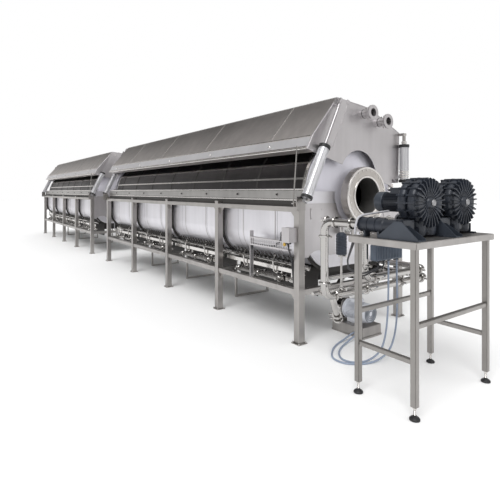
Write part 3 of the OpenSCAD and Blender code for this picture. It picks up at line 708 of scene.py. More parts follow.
def steam_trim(unit, k):
    """Nipples, drop pipes with clamps, a valve on every tube pack, and near-black sheets behind them,
    painted shade under the tank.
    """
    nipple = Shape()
    tilt = Vector((-0.45, -0.35, 0.82))
    nipple.lathe((0, 0, 0), tilt, ((0, 0.011), (0.055, 0.011), (0.055, 0.017), (0.075, 0.017),
                                   (0.075, 0.011), (0.105, 0.011)), 10)
    meshes = []
    for bay in range(BAYS):
        meshes.append(row(loose(nipple), "dark sheet", (-bay * BAY - 0.14, 0.19, 0.776),
                          (-0.0855, 0, 0), 16, k))
    settle(joined(meshes, "nipples"), f"{unit}_steam_nipples", "line", "dark sheet")
    # Near-black sheets across each bay under the tank: painted shade.
    fronts = Shape()
    for bay in range(BAYS):
        x0, x1 = -(bay + 1) * BAY + 0.05, -bay * BAY - 0.05
        fronts.block(x0, x1, 0.322, 0.326, 0.44, 0.7535)
    fronts.both_sides().piece(f"{unit}_sump_fronts", "line", "dark sheet", "dark_steel", k, 0.001)
    rail = Shape()
    for bay in range(BAYS):
        x0, x1 = -(bay + 1) * BAY + 0.05, -bay * BAY - 0.05
        rail.block(x0, x1, 0.098, 0.104, 0.69, 0.735)
        rail.block(x0, x1, 0.104, 0.135, 0.69, 0.696)
        rail.block(x0, x1, 0.104, 0.135, 0.729, 0.735)
    rail.piece(f"{unit}_manifold_rail", "line", "bright steel", "brushed_steel", k, 0.001)
    pipes = Shape()
    for bay in range(BAYS):
        left = -(bay + 1) * BAY
        for x in (0.5, 1.1):
            for z in (0.645, 0.735):
                pipes.clamp((left + x, 0.195, z), Z, 0.0145)
            pipes.tube(bent([(left + x, 0.19, 0.668), (left + x, 0.075, 0.668),
                             (left + x, 0.062, 0.79), (left + x, 0.1, 0.86)], 0.03), 0.011, 10)
            pipes.clamp((left + x, 0.12, 0.668), Y, 0.0115)
        for y in (0.11, 0.16, 0.21):
            for x in (0.345, 0.76, 1.165):
                pipes.clamp((left + x, y, 0.595), X, 0.0225)
    pipes.piece(f"{unit}_drop_pipes", "line", "polished pipe", "polished_pipe", k)
    valves = Shape()
    for bay in range(BAYS):
        x = -(bay + 1) * BAY + 1.235
        valves.lathe((x, 0.16, 0.6), X, ((0, 0.03), (0.02, 0.03), (0.022, 0.02), (0.05, 0.024),
                                         (0.075, 0.034), (0.11, 0.034), (0.13, 0.02), (0.16, 0.02),
                                         (0.162, 0.03), (0.18, 0.03)), 20)
        valves.lathe((x + 0.09, 0.16, 0.63), Z, ((0, 0.016), (0.06, 0.012), (0.07, 0.02),
                                                 (0.085, 0.02)), 14)
        valves.tube(bent([(x + 0.17, 0.16, 0.6), (x + 0.21, 0.16, 0.6), (x + 0.22, 0.1, 0.66),
                          (x + 0.22, 0.1, 0.74)], 0.03), 0.014, 10)
    valves.piece(f"{unit}_valves", "line", "bright steel", "brushed_steel", k, 0.0008)
    levers = Shape()
    for bay in range(BAYS):
        x = -(bay + 1) * BAY + 1.325
        levers.block(x - 0.1, x + 0.02, 0.15, 0.17, 0.7155, 0.7235)
        levers.block(x - 0.008, x + 0.008, 0.1, 0.1595, 0.7155, 0.7215)
    levers.piece(f"{unit}_valve_levers", "line", "black polymer", "black_polymer", k, 0.003)


def drum_trim(unit, k):
    """Bands over the screen joints, and the heads, liners, bolts, plates and rims of the drum's ends."""
    drum = bpy.context.scene.blancher_drum
    body = f"{unit}_drum"
    skin = DRUM_R - 0.0098
    seams = Shape()
    count = round(5.9 / drum.band_pitch)
    for i in range(count + 1):
        x = -0.09 - i * drum.band_pitch
        half = drum.band_width / 2
        seams.lathe((x - half, AXIS_Y, AXIS_Z), X, ((0, skin), (0.004, skin + 0.0055),
                    (2 * half - 0.004, skin + 0.0055), (2 * half, skin)), 96, True)
    seams.piece(f"{unit}_drum_bands", body, "dark sheet", "dark_steel", k)
    heads = Shape()
    heads.lathe((0, AXIS_Y, AXIS_Z), X, ((-0.0492, 0.7215), (-0.047, 0.7235), (0.0, 0.47), (0.02, 0.34),
                (0.0235, 0.226), (0.0235, 0.2135), (0.0205, 0.2135), (0.017, 0.335), (-0.003, 0.465)),
                96, True)
    heads.both_ends().piece(f"{unit}_drum_heads", body, "head sheet", "satin_sheet", k)
    liners = Shape()
    liners.lathe((0, AXIS_Y, AXIS_Z), X, ((-0.045, 0.2048), (0.199, 0.2048), (0.199, 0.2035),
                                          (-0.045, 0.2035)), 64, True)
    liners.both_ends().piece(f"{unit}_collar_liners", body, "band steel", "brushed_steel", k)
    ends = Shape()
    for x in (-0.05 - 0.034, -UNIT + 0.226):
        ends.lathe((x, AXIS_Y, AXIS_Z), X, ((0, skin), (0, DRUM_R - 0.004), (0.034, DRUM_R - 0.004),
                                            (0.034, skin)), 96, True)
    ends.piece(f"{unit}_drum_hoops", body, "bright steel", "brushed_steel", k)
    meshes = []
    for x, turn in ((-0.0495, (0, math.pi / 2, 0)), (-UNIT + 0.2255, (0, -math.pi / 2, 0))):
        for r, n in ((0.7, 48), (0.25, 16)):
            meshes.append(ring(bolt(0.009, 0.008), "bright steel", (x, AXIS_Y, AXIS_Z), r, n, k, turn))
    settle(joined(meshes, "bolts"), f"{unit}_head_bolts", body, "bright steel")
    plates, bolts = [], []
    plate = Shape().block(-0.002, 0.004, -0.037, 0.037, 0.006, 0.076)
    for x, turn in ((0.109, (0, math.pi / 2, 0)), (-UNIT - 0.109, (0, -math.pi / 2, 0))):
        plates.append(ring(loose(plate), "collar steel", (x, AXIS_Y, AXIS_Z), 0.3225, 24, k, turn))
    for x, turn in ((0.2005, (0, math.pi / 2, 0)), (-UNIT - 0.2005, (0, -math.pi / 2, 0))):
        bolts.append(ring(bolt(0.008, 0.006), "bright steel", (x, AXIS_Y, AXIS_Z), 0.29, 24, k, turn))
    settle(joined(plates, "plates"), f"{unit}_collar_plates", body, "collar steel")
    settle(joined(bolts, "bolts"), f"{unit}_collar_bolts", body, "bright steel")
    rims = Shape()
    rims.lathe((0.196, AXIS_Y, AXIS_Z), X, ((0, 0.305), (0.009, 0.305), (0.009, 0.324), (0, 0.3275)),
               64, True)
    rims.lathe((0.19, AXIS_Y, AXIS_Z), X, ((0, 0.2055), (0.016, 0.2055), (0.019, 0.2095),
                                           (0.019, 0.224), (0.01, 0.228), (0, 0.228)), 64, True)
    rims.both_ends().piece(f"{unit}_collar_rims", body, "bright steel", "brushed_steel", k)


def roof_strip(shape, x, half, thick, first, last):
    """A joint strip over the hood from one outline point to another."""
    for a, b in zip(HOOD_OUTLINE[first:last], HOOD_OUTLINE[first + 1:last + 1]):
        along = (Vector((0, *b)) - Vector((0, *a))).normalized()
        out = Vector((0, -along.z, along.y))
        if out.dot(Vector((0, a[0] - AXIS_Y, a[1] - 1.9))) < 0:
            out = -out
        points = []
        for dx in (x - half, x + half):
            for p, inset in ((a, 0.02), (b, -0.02)):
                base = Vector((dx, *p)) + along * inset
                points += [base, base + out * thick]
        shape.add(points, ((0, 1, 3, 2), (4, 6, 7, 5), (0, 4, 5, 1), (2, 3, 7, 6), (0, 2, 6, 4),
                           (1, 5, 7, 3)))


def hood_trim(unit, k):
    """Joint strips, lip, hems, knobs, edges, bolts and vent liners of the lift-up hood; each liner is
    closed by a dark disc of painted shade.
    """
    hood = bpy.context.scene.blancher_hood
    body = f"{unit}_hood"
    strips = Shape()
    count = int((UNIT - 0.3) / hood.joint_pitch)
    for i in range(count + 1):
        roof_strip(strips, -0.62 - i * hood.joint_pitch, hood.joint_width / 2, 0.003, 2, 3)
    for i in range(count + 1):
        roof_strip(strips, -0.62 - i * hood.joint_pitch, hood.joint_width, 0.0015, 3, 5)
    strips.swung().piece(f"{unit}_hood_joints", body, "bright steel", "cover_sheet", k, 0.001)
    lip = Shape()
    roof_strip(lip, -UNIT / 2, UNIT / 2 + HOOD_OUT - 0.001, 0.0025, 1, 2)
    lip.swung().piece(f"{unit}_hood_lip", body, "lip sheet", "satin_sheet", k, 0.001)
    hems = Shape()
    for (y, z), r, up in ((HOOD_OUTLINE[1], 0.012, 0.002), (HOOD_OUTLINE[3], 0.006, -0.008),
                          (HOOD_OUTLINE[4], 0.005, 0.002)):
        hems.lathe((-UNIT - HOOD_OUT, y, z + up), X, ((0, r), (UNIT + 2 * HOOD_OUT, r)), 12)
    lip_a, lip_b = HOOD_OUTLINE[1], HOOD_OUTLINE[2]
    for t in (0.12, 0.92):
        y, z = (a + (b - a) * t for a, b in zip(lip_a, lip_b))
        hems.block(-UNIT - 0.07, 0.07, y - 0.006, y + 0.001, z, z + 0.01)
    hems.swung().piece(f"{unit}_hood_hems", body, "bright steel", "brushed_steel", k, 0.001)
    fittings = Shape()
    for i in range(5):
        x = -0.55 - i * 1.36
        fittings.lathe((x, 0.0, 1.675), -Y, ((0, 0.006), (0.022, 0.006), (0.024, 0.013), (0.036, 0.015),
                                             (0.042, 0.009)), 14)
    fittings.swung().piece(f"{unit}_hood_knobs", body, "bright steel", "brushed_steel", k, 0.002)
    plate_edge = Shape()
    middle = Vector((0.0835, AXIS_Y, 1.9))
    corners = [Vector((0.0835, y, z)) for y, z in HOOD_OUTLINE[1:]]
    corners = [p + (middle - p).normalized() * 0.008 for p in corners]
    for a, b in zip(corners, corners[1:]):
        plate_edge.tube([a, b], 0.004, 6)
    ridge = HOOD_OUTLINE[3]
    plate_edge.block(0.083, 0.089, ridge[0] + 0.16, ridge[0] + 0.2, ridge[1] - 0.01, ridge[1] + 0.036)
    plate_edge.both_ends().swung().piece(f"{unit}_hood_edges", body, "satin sheet", "satin_sheet", k,
                                         0.001)
    meshes = []
    for y in (AXIS_Y - 0.142, AXIS_Y + 0.142):
        shape = Shape()
        for i in range(8):
            a = i * math.pi / 4 + 0.2
            shape.lathe((0.1755, y + 0.066 * math.cos(a), 2.268 + 0.066 * math.sin(a)), X,
                        ((0, 0.009), (0.008, 0.009)), 6)
        meshes.append(shape.swung().mesh("bolts", k))
    shape = Shape()
    for dy, dz in ((0.015, -0.045), (0.06, -0.055), (0.105, -0.045), (0.02, -0.085), (0.1, -0.085)):
        shape.lathe((0.0832, ridge[0] + dy, ridge[1] + dz), X, ((0, 0.011), (0.009, 0.011)), 6)
    meshes.append(shape.both_ends().swung().mesh("bolts", k))
    settle(joined(meshes, "bolts"), f"{unit}_hood_bolts", body, "bright steel")
    # Dark sheet vent stubs, closed at the plate by a disc: the near-black bore is painted shade of the
    # hood's inside.
    bores = Shape()
    for y in (AXIS_Y - 0.142, AXIS_Y + 0.142):
        bores.lathe((0.09, y, 2.268), X, ((0, 0.0455), (0.085, 0.0455), (0.085, 0.044), (0.004, 0.044),
                                          (0.004, 0.0), (0, 0.0)), 32)
        bores.lathe((0.12, y, 2.268), X, ((0, 0.052), (0, 0.0545), (0.006, 0.0545), (0.006, 0.052)),
                    32, True)
    bores.swung().piece(f"{unit}_vent_liners", body, "dark sheet", "dark_steel", k)


def lifting_trim(unit, k):
    """Caps, flutes and guides of the lifting cylinders, and the fittings of the back ones."""
    side = LIFT_AXIS.cross(X).normalized()
    tilt = Matrix((X, side, LIFT_AXIS)).transposed()

    def lean(shape):
        base = Vector((LIFT_X, LIFT_FOOT.y, LIFT_FOOT.z))
        shape.points = [base + tilt @ p for p in shape.points]
        return shape.both_ends()
    caps = Shape()
    for z0, z1 in ((0.018, 0.05), (LIFT_BODY - 0.034, LIFT_BODY + 0.003)):
        caps.lathe((0, 0, z0), Z, ((0, 0.052), (0, 0.06), (0.004, 0.063), (z1 - z0 - 0.004, 0.063),
                                   (z1 - z0, 0.06), (z1 - z0, 0.052)), 24, True)
    lean(caps).piece(f"{unit}_lift_caps", f"{unit}_lift_barrels", "black polymer", "black_polymer", k)
    flutes = Shape()
    for i in range(16):
        a = i * math.pi / 8
        turn = Matrix.Rotation(a, 4, "Z")
        flutes.block(0.0485, 0.0555, -0.0045, 0.0045, 0.05, LIFT_BODY - 0.034, turn)
    lean(flutes).piece(f"{unit}_lift_flutes", f"{unit}_lift_barrels", "drawn aluminium",
                       "cylinder_aluminium", k, 0.001)
    guides = Shape()
    length = (LIFT_HEAD - LIFT_FOOT).length
    for y in (-0.05, 0.042):
        guides.block(0.0655, 0.0735, y, y + 0.008, LIFT_BODY + 0.01, length - 0.04)
    guides.block(0.0655, 0.0695, -0.047, 0.047, LIFT_BODY + 0.012, length - 0.042)
    guides.block(0.02, 0.066, -0.02, 0.02, length - 0.09, length - 0.06)
    guides.lathe((0, 0, length - 0.075), Z, ((0, 0.024), (0.035, 0.024)), 6)
    lean(guides).piece(f"{unit}_lift_guides", f"{unit}_lift_rods", "satin sheet", "satin_sheet", k,
                       0.001)
    back = Shape()
    for z0, z1 in ((1.7105, 1.747), (2.1445, 2.181)):
        back.lathe((LIFT_X, BACK_ROD_Y, z0), Z, ((0, 0.052), (0, 0.06), (0.004, 0.063),
                   (z1 - z0 - 0.004, 0.063), (z1 - z0, 0.06), (z1 - z0, 0.052)), 24, True)
    back.both_ends().piece(f"{unit}_back_caps", f"{unit}_hood", "black polymer", "black_polymer", k)
    flutes = Shape()
    centre = Matrix.Translation((LIFT_X, BACK_ROD_Y, 0))
    for i in range(16):
        turn = centre @ Matrix.Rotation(i * math.pi / 8, 4, "Z")
        flutes.block(0.0485, 0.0555, -0.0045, 0.0045, 1.86, 2.144, turn)
    flutes.both_ends().piece(f"{unit}_back_flutes", f"{unit}_hood", "drawn aluminium",
                             "cylinder_aluminium", k, 0.001)
    collars = Shape()
    for z in (1.77, 1.8, 1.83):
        collars.lathe((LIFT_X, BACK_ROD_Y, z), Z, ((0, 0.0495), (0, 0.056), (0.018, 0.056),
                                                   (0.018, 0.0495)), 24, True)
    collars.lathe((LIFT_X, BACK_ROD_Y, 2.19), Z, ((0, 0.0195), (0, 0.03), (0.03, 0.03),
                                                  (0.03, 0.0195)), 24, True)
    collars.both_ends().piece(f"{unit}_back_collars", f"{unit}_hood", "bright steel", "brushed_steel",
                              k)


def end_trim(unit, k):
    """Blank plates and wheel hubs at the ends of a unit, and the gearmotor."""
    plates = Shape().block(0.0405, 0.0455, 0.12, 0.3, 1.3, 1.42)
    plates.block(0.0405, 0.0435, 1.35, 1.58, 1.28, 1.42)
    for y in (0.135, 0.285):
        for z in (1.315, 1.405):
            plates.lathe((0.0455, y, z), X, ((0, 0.007), (0.005, 0.007)), 6)
    plates.both_ends().piece(f"{unit}_blank_plates", "line", "satin sheet", "satin_sheet", k, 0.001)
    tyres = Shape()
    y = AXIS_Y - WHEEL_RING * math.sin(WHEEL_TURN)
    z = AXIS_Z - WHEEL_RING * math.cos(WHEEL_TURN)
    for x in (0.1295, -UNIT - 0.1805):
        tyres.lathe((x, y, z), X, ((0, 0.016), (0, 0.03), (0.002, 0.04), (0.002, 0.06), (-0.0005, 0.062),
                                   (-0.0005, 0.016)), 32, True)
    tyres.piece(f"{unit}_idler_hubs", f"{unit}_idlers", "bright steel", "brushed_steel", k)
    hubs = Shape()
    y = AXIS_Y + WHEEL_RING * math.sin(WHEEL_TURN)
    for x in (0.1295, -UNIT - 0.1805):
        hubs.lathe((x, y, z), X, ((0, 0.016), (0, 0.03), (0.002, 0.04), (0.002, 0.06), (-0.0005, 0.062),
                                  (-0.0005, 0.016)), 32, True)
    hubs.piece(f"{unit}_drive_hubs", f"{unit}_drive", "bright steel", "brushed_steel", k)
    motor = Shape()
    base = Vector((-UNIT - 0.29, y, z - 0.38))
    motor.lathe(base, Z, ((0, 0.03), (0.004, 0.046), (0.012, 0.0535), (0.075, 0.0535), (0.08, 0.046),
                          (0.268, 0.046), (0.27, 0.0535), (0.3, 0.0535)), 32)
    motor.block(base.x - 0.054, base.x + 0.054, y - 0.0595, y + 0.0595, z - 0.0795, z + 0.0795)
    motor.block(base.x - 0.035, base.x + 0.035, y + 0.045, y + 0.085, z - 0.23, z - 0.13)
    motor_mesh = motor.mesh("motor", k, 0.003)
    fin = Shape().block(-0.004, 0.0075, -0.0012, 0.0012, 0.0, 0.18)
    fins = ring(loose(fin), "motor paint", (0, 0, 0), 0.0465, 28, k, (0, 0, 0))
    fins.transform(Matrix.Translation(at(base + Z * 0.084, k) - at((0, 0, 0), k)))
    piece = settle(joined([motor_mesh, fins], "motor"), f"{unit}_gear_motor", "line", "motor paint")
    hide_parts(f"{unit}_gearmotor")


def outfeed_services(k):
    """Valve stack and cables between two units, at the outfeed end."""
    unit = UNITS[k][0]
    stack, hoses, red = Shape(), Shape(), Shape()
    for i, (y, z) in enumerate(((0.16, 0.92), (0.3, 1.02), (0.2, 1.14), (0.34, 1.26))):
        x = -UNIT - 0.1
        stack.lathe((x, y, z), Z, ((0, 0.024), (0.05, 0.024), (0.052, 0.034), (0.085, 0.034),
                                   (0.087, 0.02), (0.11, 0.02)), 16)
        red.lathe((x, y, z + 0.1105), Z, ((0, 0.03), (0.008, 0.036), (0.016, 0.03)), 16)
        hoses.tube(bent([(x, y, z - 0.0005), (x, y, z - 0.2), (x + 0.02, y + 0.1, z - 0.32),
                         (-UNIT - 0.05, y + 0.18, 0.66 + 0.05 * i)], 0.05), 0.009, 8)
    stack.piece(f"{unit}_valve_stack", "line", "bright steel", "brushed_steel", k, 0.001)
    red.piece(f"{unit}_valve_wheels", "line", "red polymer", "black_polymer", k)
    hoses.piece(f"{unit}_valve_pipes", "line", "grey jacket", "hose_blue", k)


# ---- stand pieces ----

def table():
    top = Shape()
    lo, hi = here(TABLE_LO), here(TABLE_HI)
    top.block(lo.x, hi.x, lo.y, hi.y, hi.z - 0.05, hi.z)
    piece = top.piece("table_plate", "line", "ground steel", "brushed_steel", 0, 0.004)
    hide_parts("table_top")
    rails = Shape()
    legs = [(x, y) for x in (lo.x + 0.062, hi.x - 0.047) for y in (lo.y + 0.05, hi.y - 0.05)]
    for x, y in legs:
        rails.block(x - 0.0225, x + 0.0225, y - 0.0225, y + 0.0225, 0.09, hi.z - 0.0505)
    for x in (lo.x + 0.062, hi.x - 0.047):
        rails.block(x - 0.0175, x + 0.0175, lo.y + 0.0727, hi.y - 0.0727, 0.6345, 0.6695)
    for y in (lo.y + 0.05, hi.y - 0.05):
        rails.block(lo.x + 0.0847, hi.x - 0.0697, y - 0.0175, y + 0.0175, 0.3845, 0.4195)
    # The legs take the darker table steel: painted shade.
    piece = rails.piece("table_legs", "line", "table steel with painted shade", "brushed_steel", 0, 0.0035)
    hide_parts("table_frame")
    pads, screws = Shape(), Shape()
    for x, y in legs:
        pads.lathe((x, y, 0), Z, ((0, 0.034), (0.002, 0.037), (0.012, 0.037), (0.02, 0.03),
                                  (0.026, 0.016), (0.034, 0.013)), 32)
        profile = [(0, 0.0085)]
        for i in range(11):
            profile += [(0.003 + i * 0.004, 0.0085), (0.005 + i * 0.004, 0.007)]
        screws.lathe((x, y, 0.0345), Z, profile + [(0.055, 0.0085)], 12)
        screws.lathe((x, y, 0.078), Z, ((0, 0.016), (0.012, 0.016)), 6)
    piece = pads.piece("table_feet", "line", "black polymer", "black_polymer")
    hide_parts("levelling_feet")
    screws.piece("table_foot_screws", "line", "bright steel", "brushed_steel")


def blower(name, y, rotor):
    """One two-stage side channel blower with its motor."""
    stand = bpy.context.scene.blancher_stand
    z = BLOWER_Z
    rings = Shape()
    for x in (1.306, 1.392):
        rings.lathe((x, y, z), X, ((0, 0.1), (0, 0.158), (0.006, 0.176), (0.02, 0.187), (0.037, 0.19),
                                   (0.056, 0.187), (0.07, 0.176), (0.076, 0.158), (0.076, 0.1)), 48,
                    True)
    rings.lathe((1.3, y, z), X, ((0, 0.02), (0, 0.15), (0.18, 0.15), (0.18, 0.02)), 48, True)
    casing = rings.mesh("rings")
    rib = Shape().block(-0.012, 0.0045, -0.006, 0.006, -0.034, 0.034)
    ribs = [ring(loose(rib), "blower paint", (x, y, z), 0.19, stand.casing_ribs, 0)
            for x in (1.344, 1.43)]
    boss = Shape().block(-0.012, 0.008, -0.011, 0.011, -0.008, 0.008)
    ribs.append(ring(loose(boss), "blower paint", (1.387, y, z), 0.188, 8))
    whole = settle(joined([casing] + ribs, "casing"), f"{name}_rings", "line", "blower paint")
    cover = Shape()
    cover.lathe((1.462, y, z), X, ((0, 0.14), (0.004, 0.165), (0.02, 0.16), (0.026, 0.1),
                                   (0.014, 0.075), (0.014, 0.05), (0.034, 0.042), (0.042, 0.03),
                                   (0.042, 0.0)), 48)
    fin = Shape()
    outline = ((-0.128, 0.014), (-0.05, 0.03), (0.004, 0.03), (0.016, 0.012), (0.004, -0.004),
               (-0.128, 0.002))
    points = [(px, t, pz) for t in (-0.0035, 0.0035) for px, pz in outline]
    n = len(outline)
    fin.add(points, [(i, (i + 1) % n, n + (i + 1) % n, n + i) for i in range(n)]
            + [tuple(range(n)), tuple(range(2 * n - 1, n - 1, -1))])
    fins = ring(loose(fin), "blower paint", (1.468, y, z), 0.178, stand.cover_fins)
    settle(joined([cover.mesh("cover"), fins], "cover"), f"{name}_cover", "line", "blower paint")
    lower = Shape()
    lower.block(1.316, 1.46, y - 0.12, y + 0.12, 1.286, 1.42)
    for py, px in ((-0.072, 1.425), (0.062, 1.425)):
        lower.lathe((px, y + py, 1.262), Z, ((0, 0.05), (0.03, 0.058), (0.09, 0.058), (0.12, 0.048),
                                            (0.14, 0.02)), 24)
        lower.lathe((px - 0.09, y + py, 1.262), Z, ((0, 0.05), (0.03, 0.056), (0.11, 0.05)), 24)
    for sy in (-1, 1):
        lower.block(1.275, 1.5, y + sy * 0.148 - 0.022, y + sy * 0.148 + 0.022, 1.245, 1.257)
        lower.block(1.3, 1.47, y + sy * 0.132 - 0.004, y + sy * 0.132 + 0.004, 1.257, 1.33)
    lower.piece(f"{name}_ports", "line", "blower paint", "blower_paint", 0, 0.004)
    motor = Shape()
    motor.lathe((1.085, y, z), X, ((0, 0.02), (0, 0.07), (0.214, 0.07), (0.214, 0.02)), 40, True)
    motor.lathe((1.282, y, z), X, ((0, 0.07), (0, 0.095), (0.016, 0.1), (0.024, 0.1), (0.024, 0.07)),
                40, True)
    motor.block(1.15, 1.245, y - 0.042, y + 0.042, z + 0.066, z + 0.118)
    motor.block(1.146, 1.249, y - 0.046, y + 0.046, z + 0.1055, z + 0.1105)
    motor_mesh = motor.mesh("motor", 0, 0.002)
    fin = Shape().block(-0.004, 0.011, -0.0016, 0.0016, -0.09, 0.09)
    fins = ring(loose(fin), "blower paint", (1.19, y, z), 0.07, stand.motor_fins)
    settle(joined([motor_mesh, fins], "motor"), f"{name}_motor", "line", "blower paint")
    cap = Shape()
    cap.lathe((1.006, y, z), X, ((0, 0.0), (0, 0.06), (0.004, 0.074), (0.014, 0.084), (0.08, 0.085),
                                 (0.086, 0.082), (0.086, 0.06)), 40)
    cap.piece(f"{name}_fan_cowl", "line", "slate paint", "motor_paint")
    spin = Shape()
    spin.lathe((1.505, y, z), X, ((0, 0.012), (0, 0.024), (0.006, 0.026), (0.012, 0.022),
                                  (0.016, 0.01), (0.016, 0.0)), 24)
    spin.piece(f"{name}_hub_cap", rotor, "cast aluminium", "cast_aluminium")
    return whole


def silencer(name, y):
    """Intake silencer beside a blower, its foot bracket and the grey cable over it."""
    z = 1.34
    pot = Shape()
    pot.lathe((1.062, y, z), X, ((0, 0.036), (0, 0.05), (0.006, 0.056), (0.235, 0.056), (0.245, 0.048),
                                 (0.33, 0.044), (0.335, 0.03)), 32)
    for x in (1.075, 1.15, 1.225):
        pot.lathe((x, y, z), X, ((0, 0.055), (0, 0.06), (0.012, 0.06), (0.012, 0.055)), 32, True)
    pot.block(1.3, 1.45, y + 0.0, y + 0.14, z - 0.05, z + 0.045)
    pot.piece(f"{name}_silencer", "line", "blower paint", "blower_paint", 0, 0.003)
    foot = Shape()
    for y0, top in ((y - 0.052, 0.135), (y + 0.046, 0.1)):
        outline = ((1.262, 1.2455), (1.6, 1.2455), (1.6, 1.262), (1.47, 1.2455 + top),
                   (1.41, 1.2455 + top), (1.262, 1.262))
        n = len(outline)
        points = [(px, yy, pz) for yy in (y0, y0 + 0.006) for px, pz in outline]
        foot.add(points, [(i, (i + 1) % n, n + (i + 1) % n, n + i) for i in range(n)]
                 + [tuple(range(n)), tuple(range(2 * n - 1, n - 1, -1))])
    foot.block(1.262, 1.6, y - 0.052, y + 0.052, 1.2455, 1.2515)
    for x in (1.11, 1.24):
        foot.block(x, x + 0.02, y - 0.03, y + 0.03, 1.2455, 1.295)
    foot.piece(f"{name}_foot_plate", "line", "slate paint", "motor_paint", 0, 0.0015)
    lead = Shape()
    lead.tube(bent([(1.15, y + 0.24, z + 0.1), (1.11, y + 0.12, z + 0.085), (1.09, y + 0.0, z + 0.072),
                    (1.08, y - 0.06, z + 0.055), (1.07, y - 0.076, z - 0.02), (1.06, y - 0.07, 1.262)],
                   0.05, 8), 0.0085, 10)
    lead.piece(f"{name}_motor_lead", "line", "grey jacket", "hose_blue")


def air_pipes():
    pipes = bpy.context.scene.blancher_pipes
    r, turn = pipes.pipe_radius, pipes.bend_radius
    runs = (
        ((1.062, -0.26, 1.33), (0.62, -0.26, 1.33), (0.62, -0.26, 0.65), (0.62, 1.35, 0.65),
         (-0.06, 1.35, 0.65)),
        ((1.062, 0.24, 1.33), (0.66, 0.24, 1.33), (0.66, 0.24, 0.76), (0.66, 1.25, 0.76),
         (0.044, 1.25, 0.76)),
    )
    tubes = Shape()
    for points in runs:
        tubes.tube(bent(points, turn, 10), r, 28)
        corners = [Vector(p) for p in points]
        for a, b in zip(corners, corners[1:]):
            along = (b - a).normalized()
            for place in (a + along * (turn + 0.02), b - along * (turn + 0.02)):
                if (place - a).length < (b - a).length:
                    tubes.clamp(place, along, r)
    tubes.tube(bent([(0.62, -0.15, 0.65), (0.62, -0.15, 0.6), (0.56, -0.02, 0.4)], 0.02), 0.03, 24)
    tubes.clamp((0.574, -0.05, 0.447), (0.06, -0.13, 0.2), 0.03)
    tubes.clamp((0.56, -0.02, 0.4), (0.06, -0.13, 0.2), 0.03)
    for y, z in ((0.3, 0.65), (0.85, 0.65)):
        tubes.clamp((0.62, y, z), Y, r)
        tubes.tube([(0.62, y + 0.06, z), (0.62, y + 0.06, z + 0.09)], 0.013, 12)
        tubes.clamp((0.62, y + 0.06, z + 0.075), Z, 0.013)
    piece = tubes.piece("sanitary_pipes", "line", "polished pipe", "polished_pipe")
    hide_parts("air_pipes")
    cross = Shape()
    cross.tube([(0.62, -0.12, 1.33), (0.5, -0.12, 1.33)], 0.024, 20)
    cross.tube([(0.62, -0.26, 1.33), (0.62, -0.12, 1.33)], 0.024, 20)
    cross.clamp((0.512, -0.12, 1.33), X, 0.0245)
    cross.tube(bent([(0.2, 0.0, 0.56), (0.2, 1.0, 0.56), (0.05, 1.2, 0.56)], 0.08), 0.02, 16)
    cross.tube(bent([(0.3, 0.05, 0.72), (0.3, 0.5, 0.72), (0.3, 0.7, 0.5), (0.1, 0.75, 0.46)], 0.06),
               0.022, 16)
    for y in (0.12, 0.4, 0.66):
        cross.clamp((0.2, y, 0.56), Y, 0.0205)
    cross.tube(bent([(0.62, -0.04, 0.66), (0.62, -0.04, 1.02)], 0.02), 0.011, 12)
    cross.clamp((0.62, -0.04, 0.7), Z, 0.0115)
    cross.clamp((0.62, -0.04, 1.005), Z, 0.0115)
    cross.tube([(0.62, -0.04, 1.21), (0.62, -0.04, 1.31)], 0.013, 12)
    cross.tube([(0.62, -0.26, 1.325), (0.62, -0.02, 1.325)], 0.014, 12)
    cross.piece("branch_pipes", "line", "polished pipe", "polished_pipe")
    bottle = [(0, 0.02), (0.004, 0.042)]
    for i in range(7):
        z = 0.01 + i * 0.026
        bottle += [(z, 0.05), (z + 0.019, 0.05), (z + 0.021, 0.046), (z + 0.024, 0.046)]
    bottle += [(0.194, 0.044), (0.204, 0.03), (0.212, 0.022)]
    Shape().lathe((0.62, -0.04, 1.01), Z, bottle, 28).piece(
        "condensate_bottle", "line", "ribbed polymer", "black_polymer")


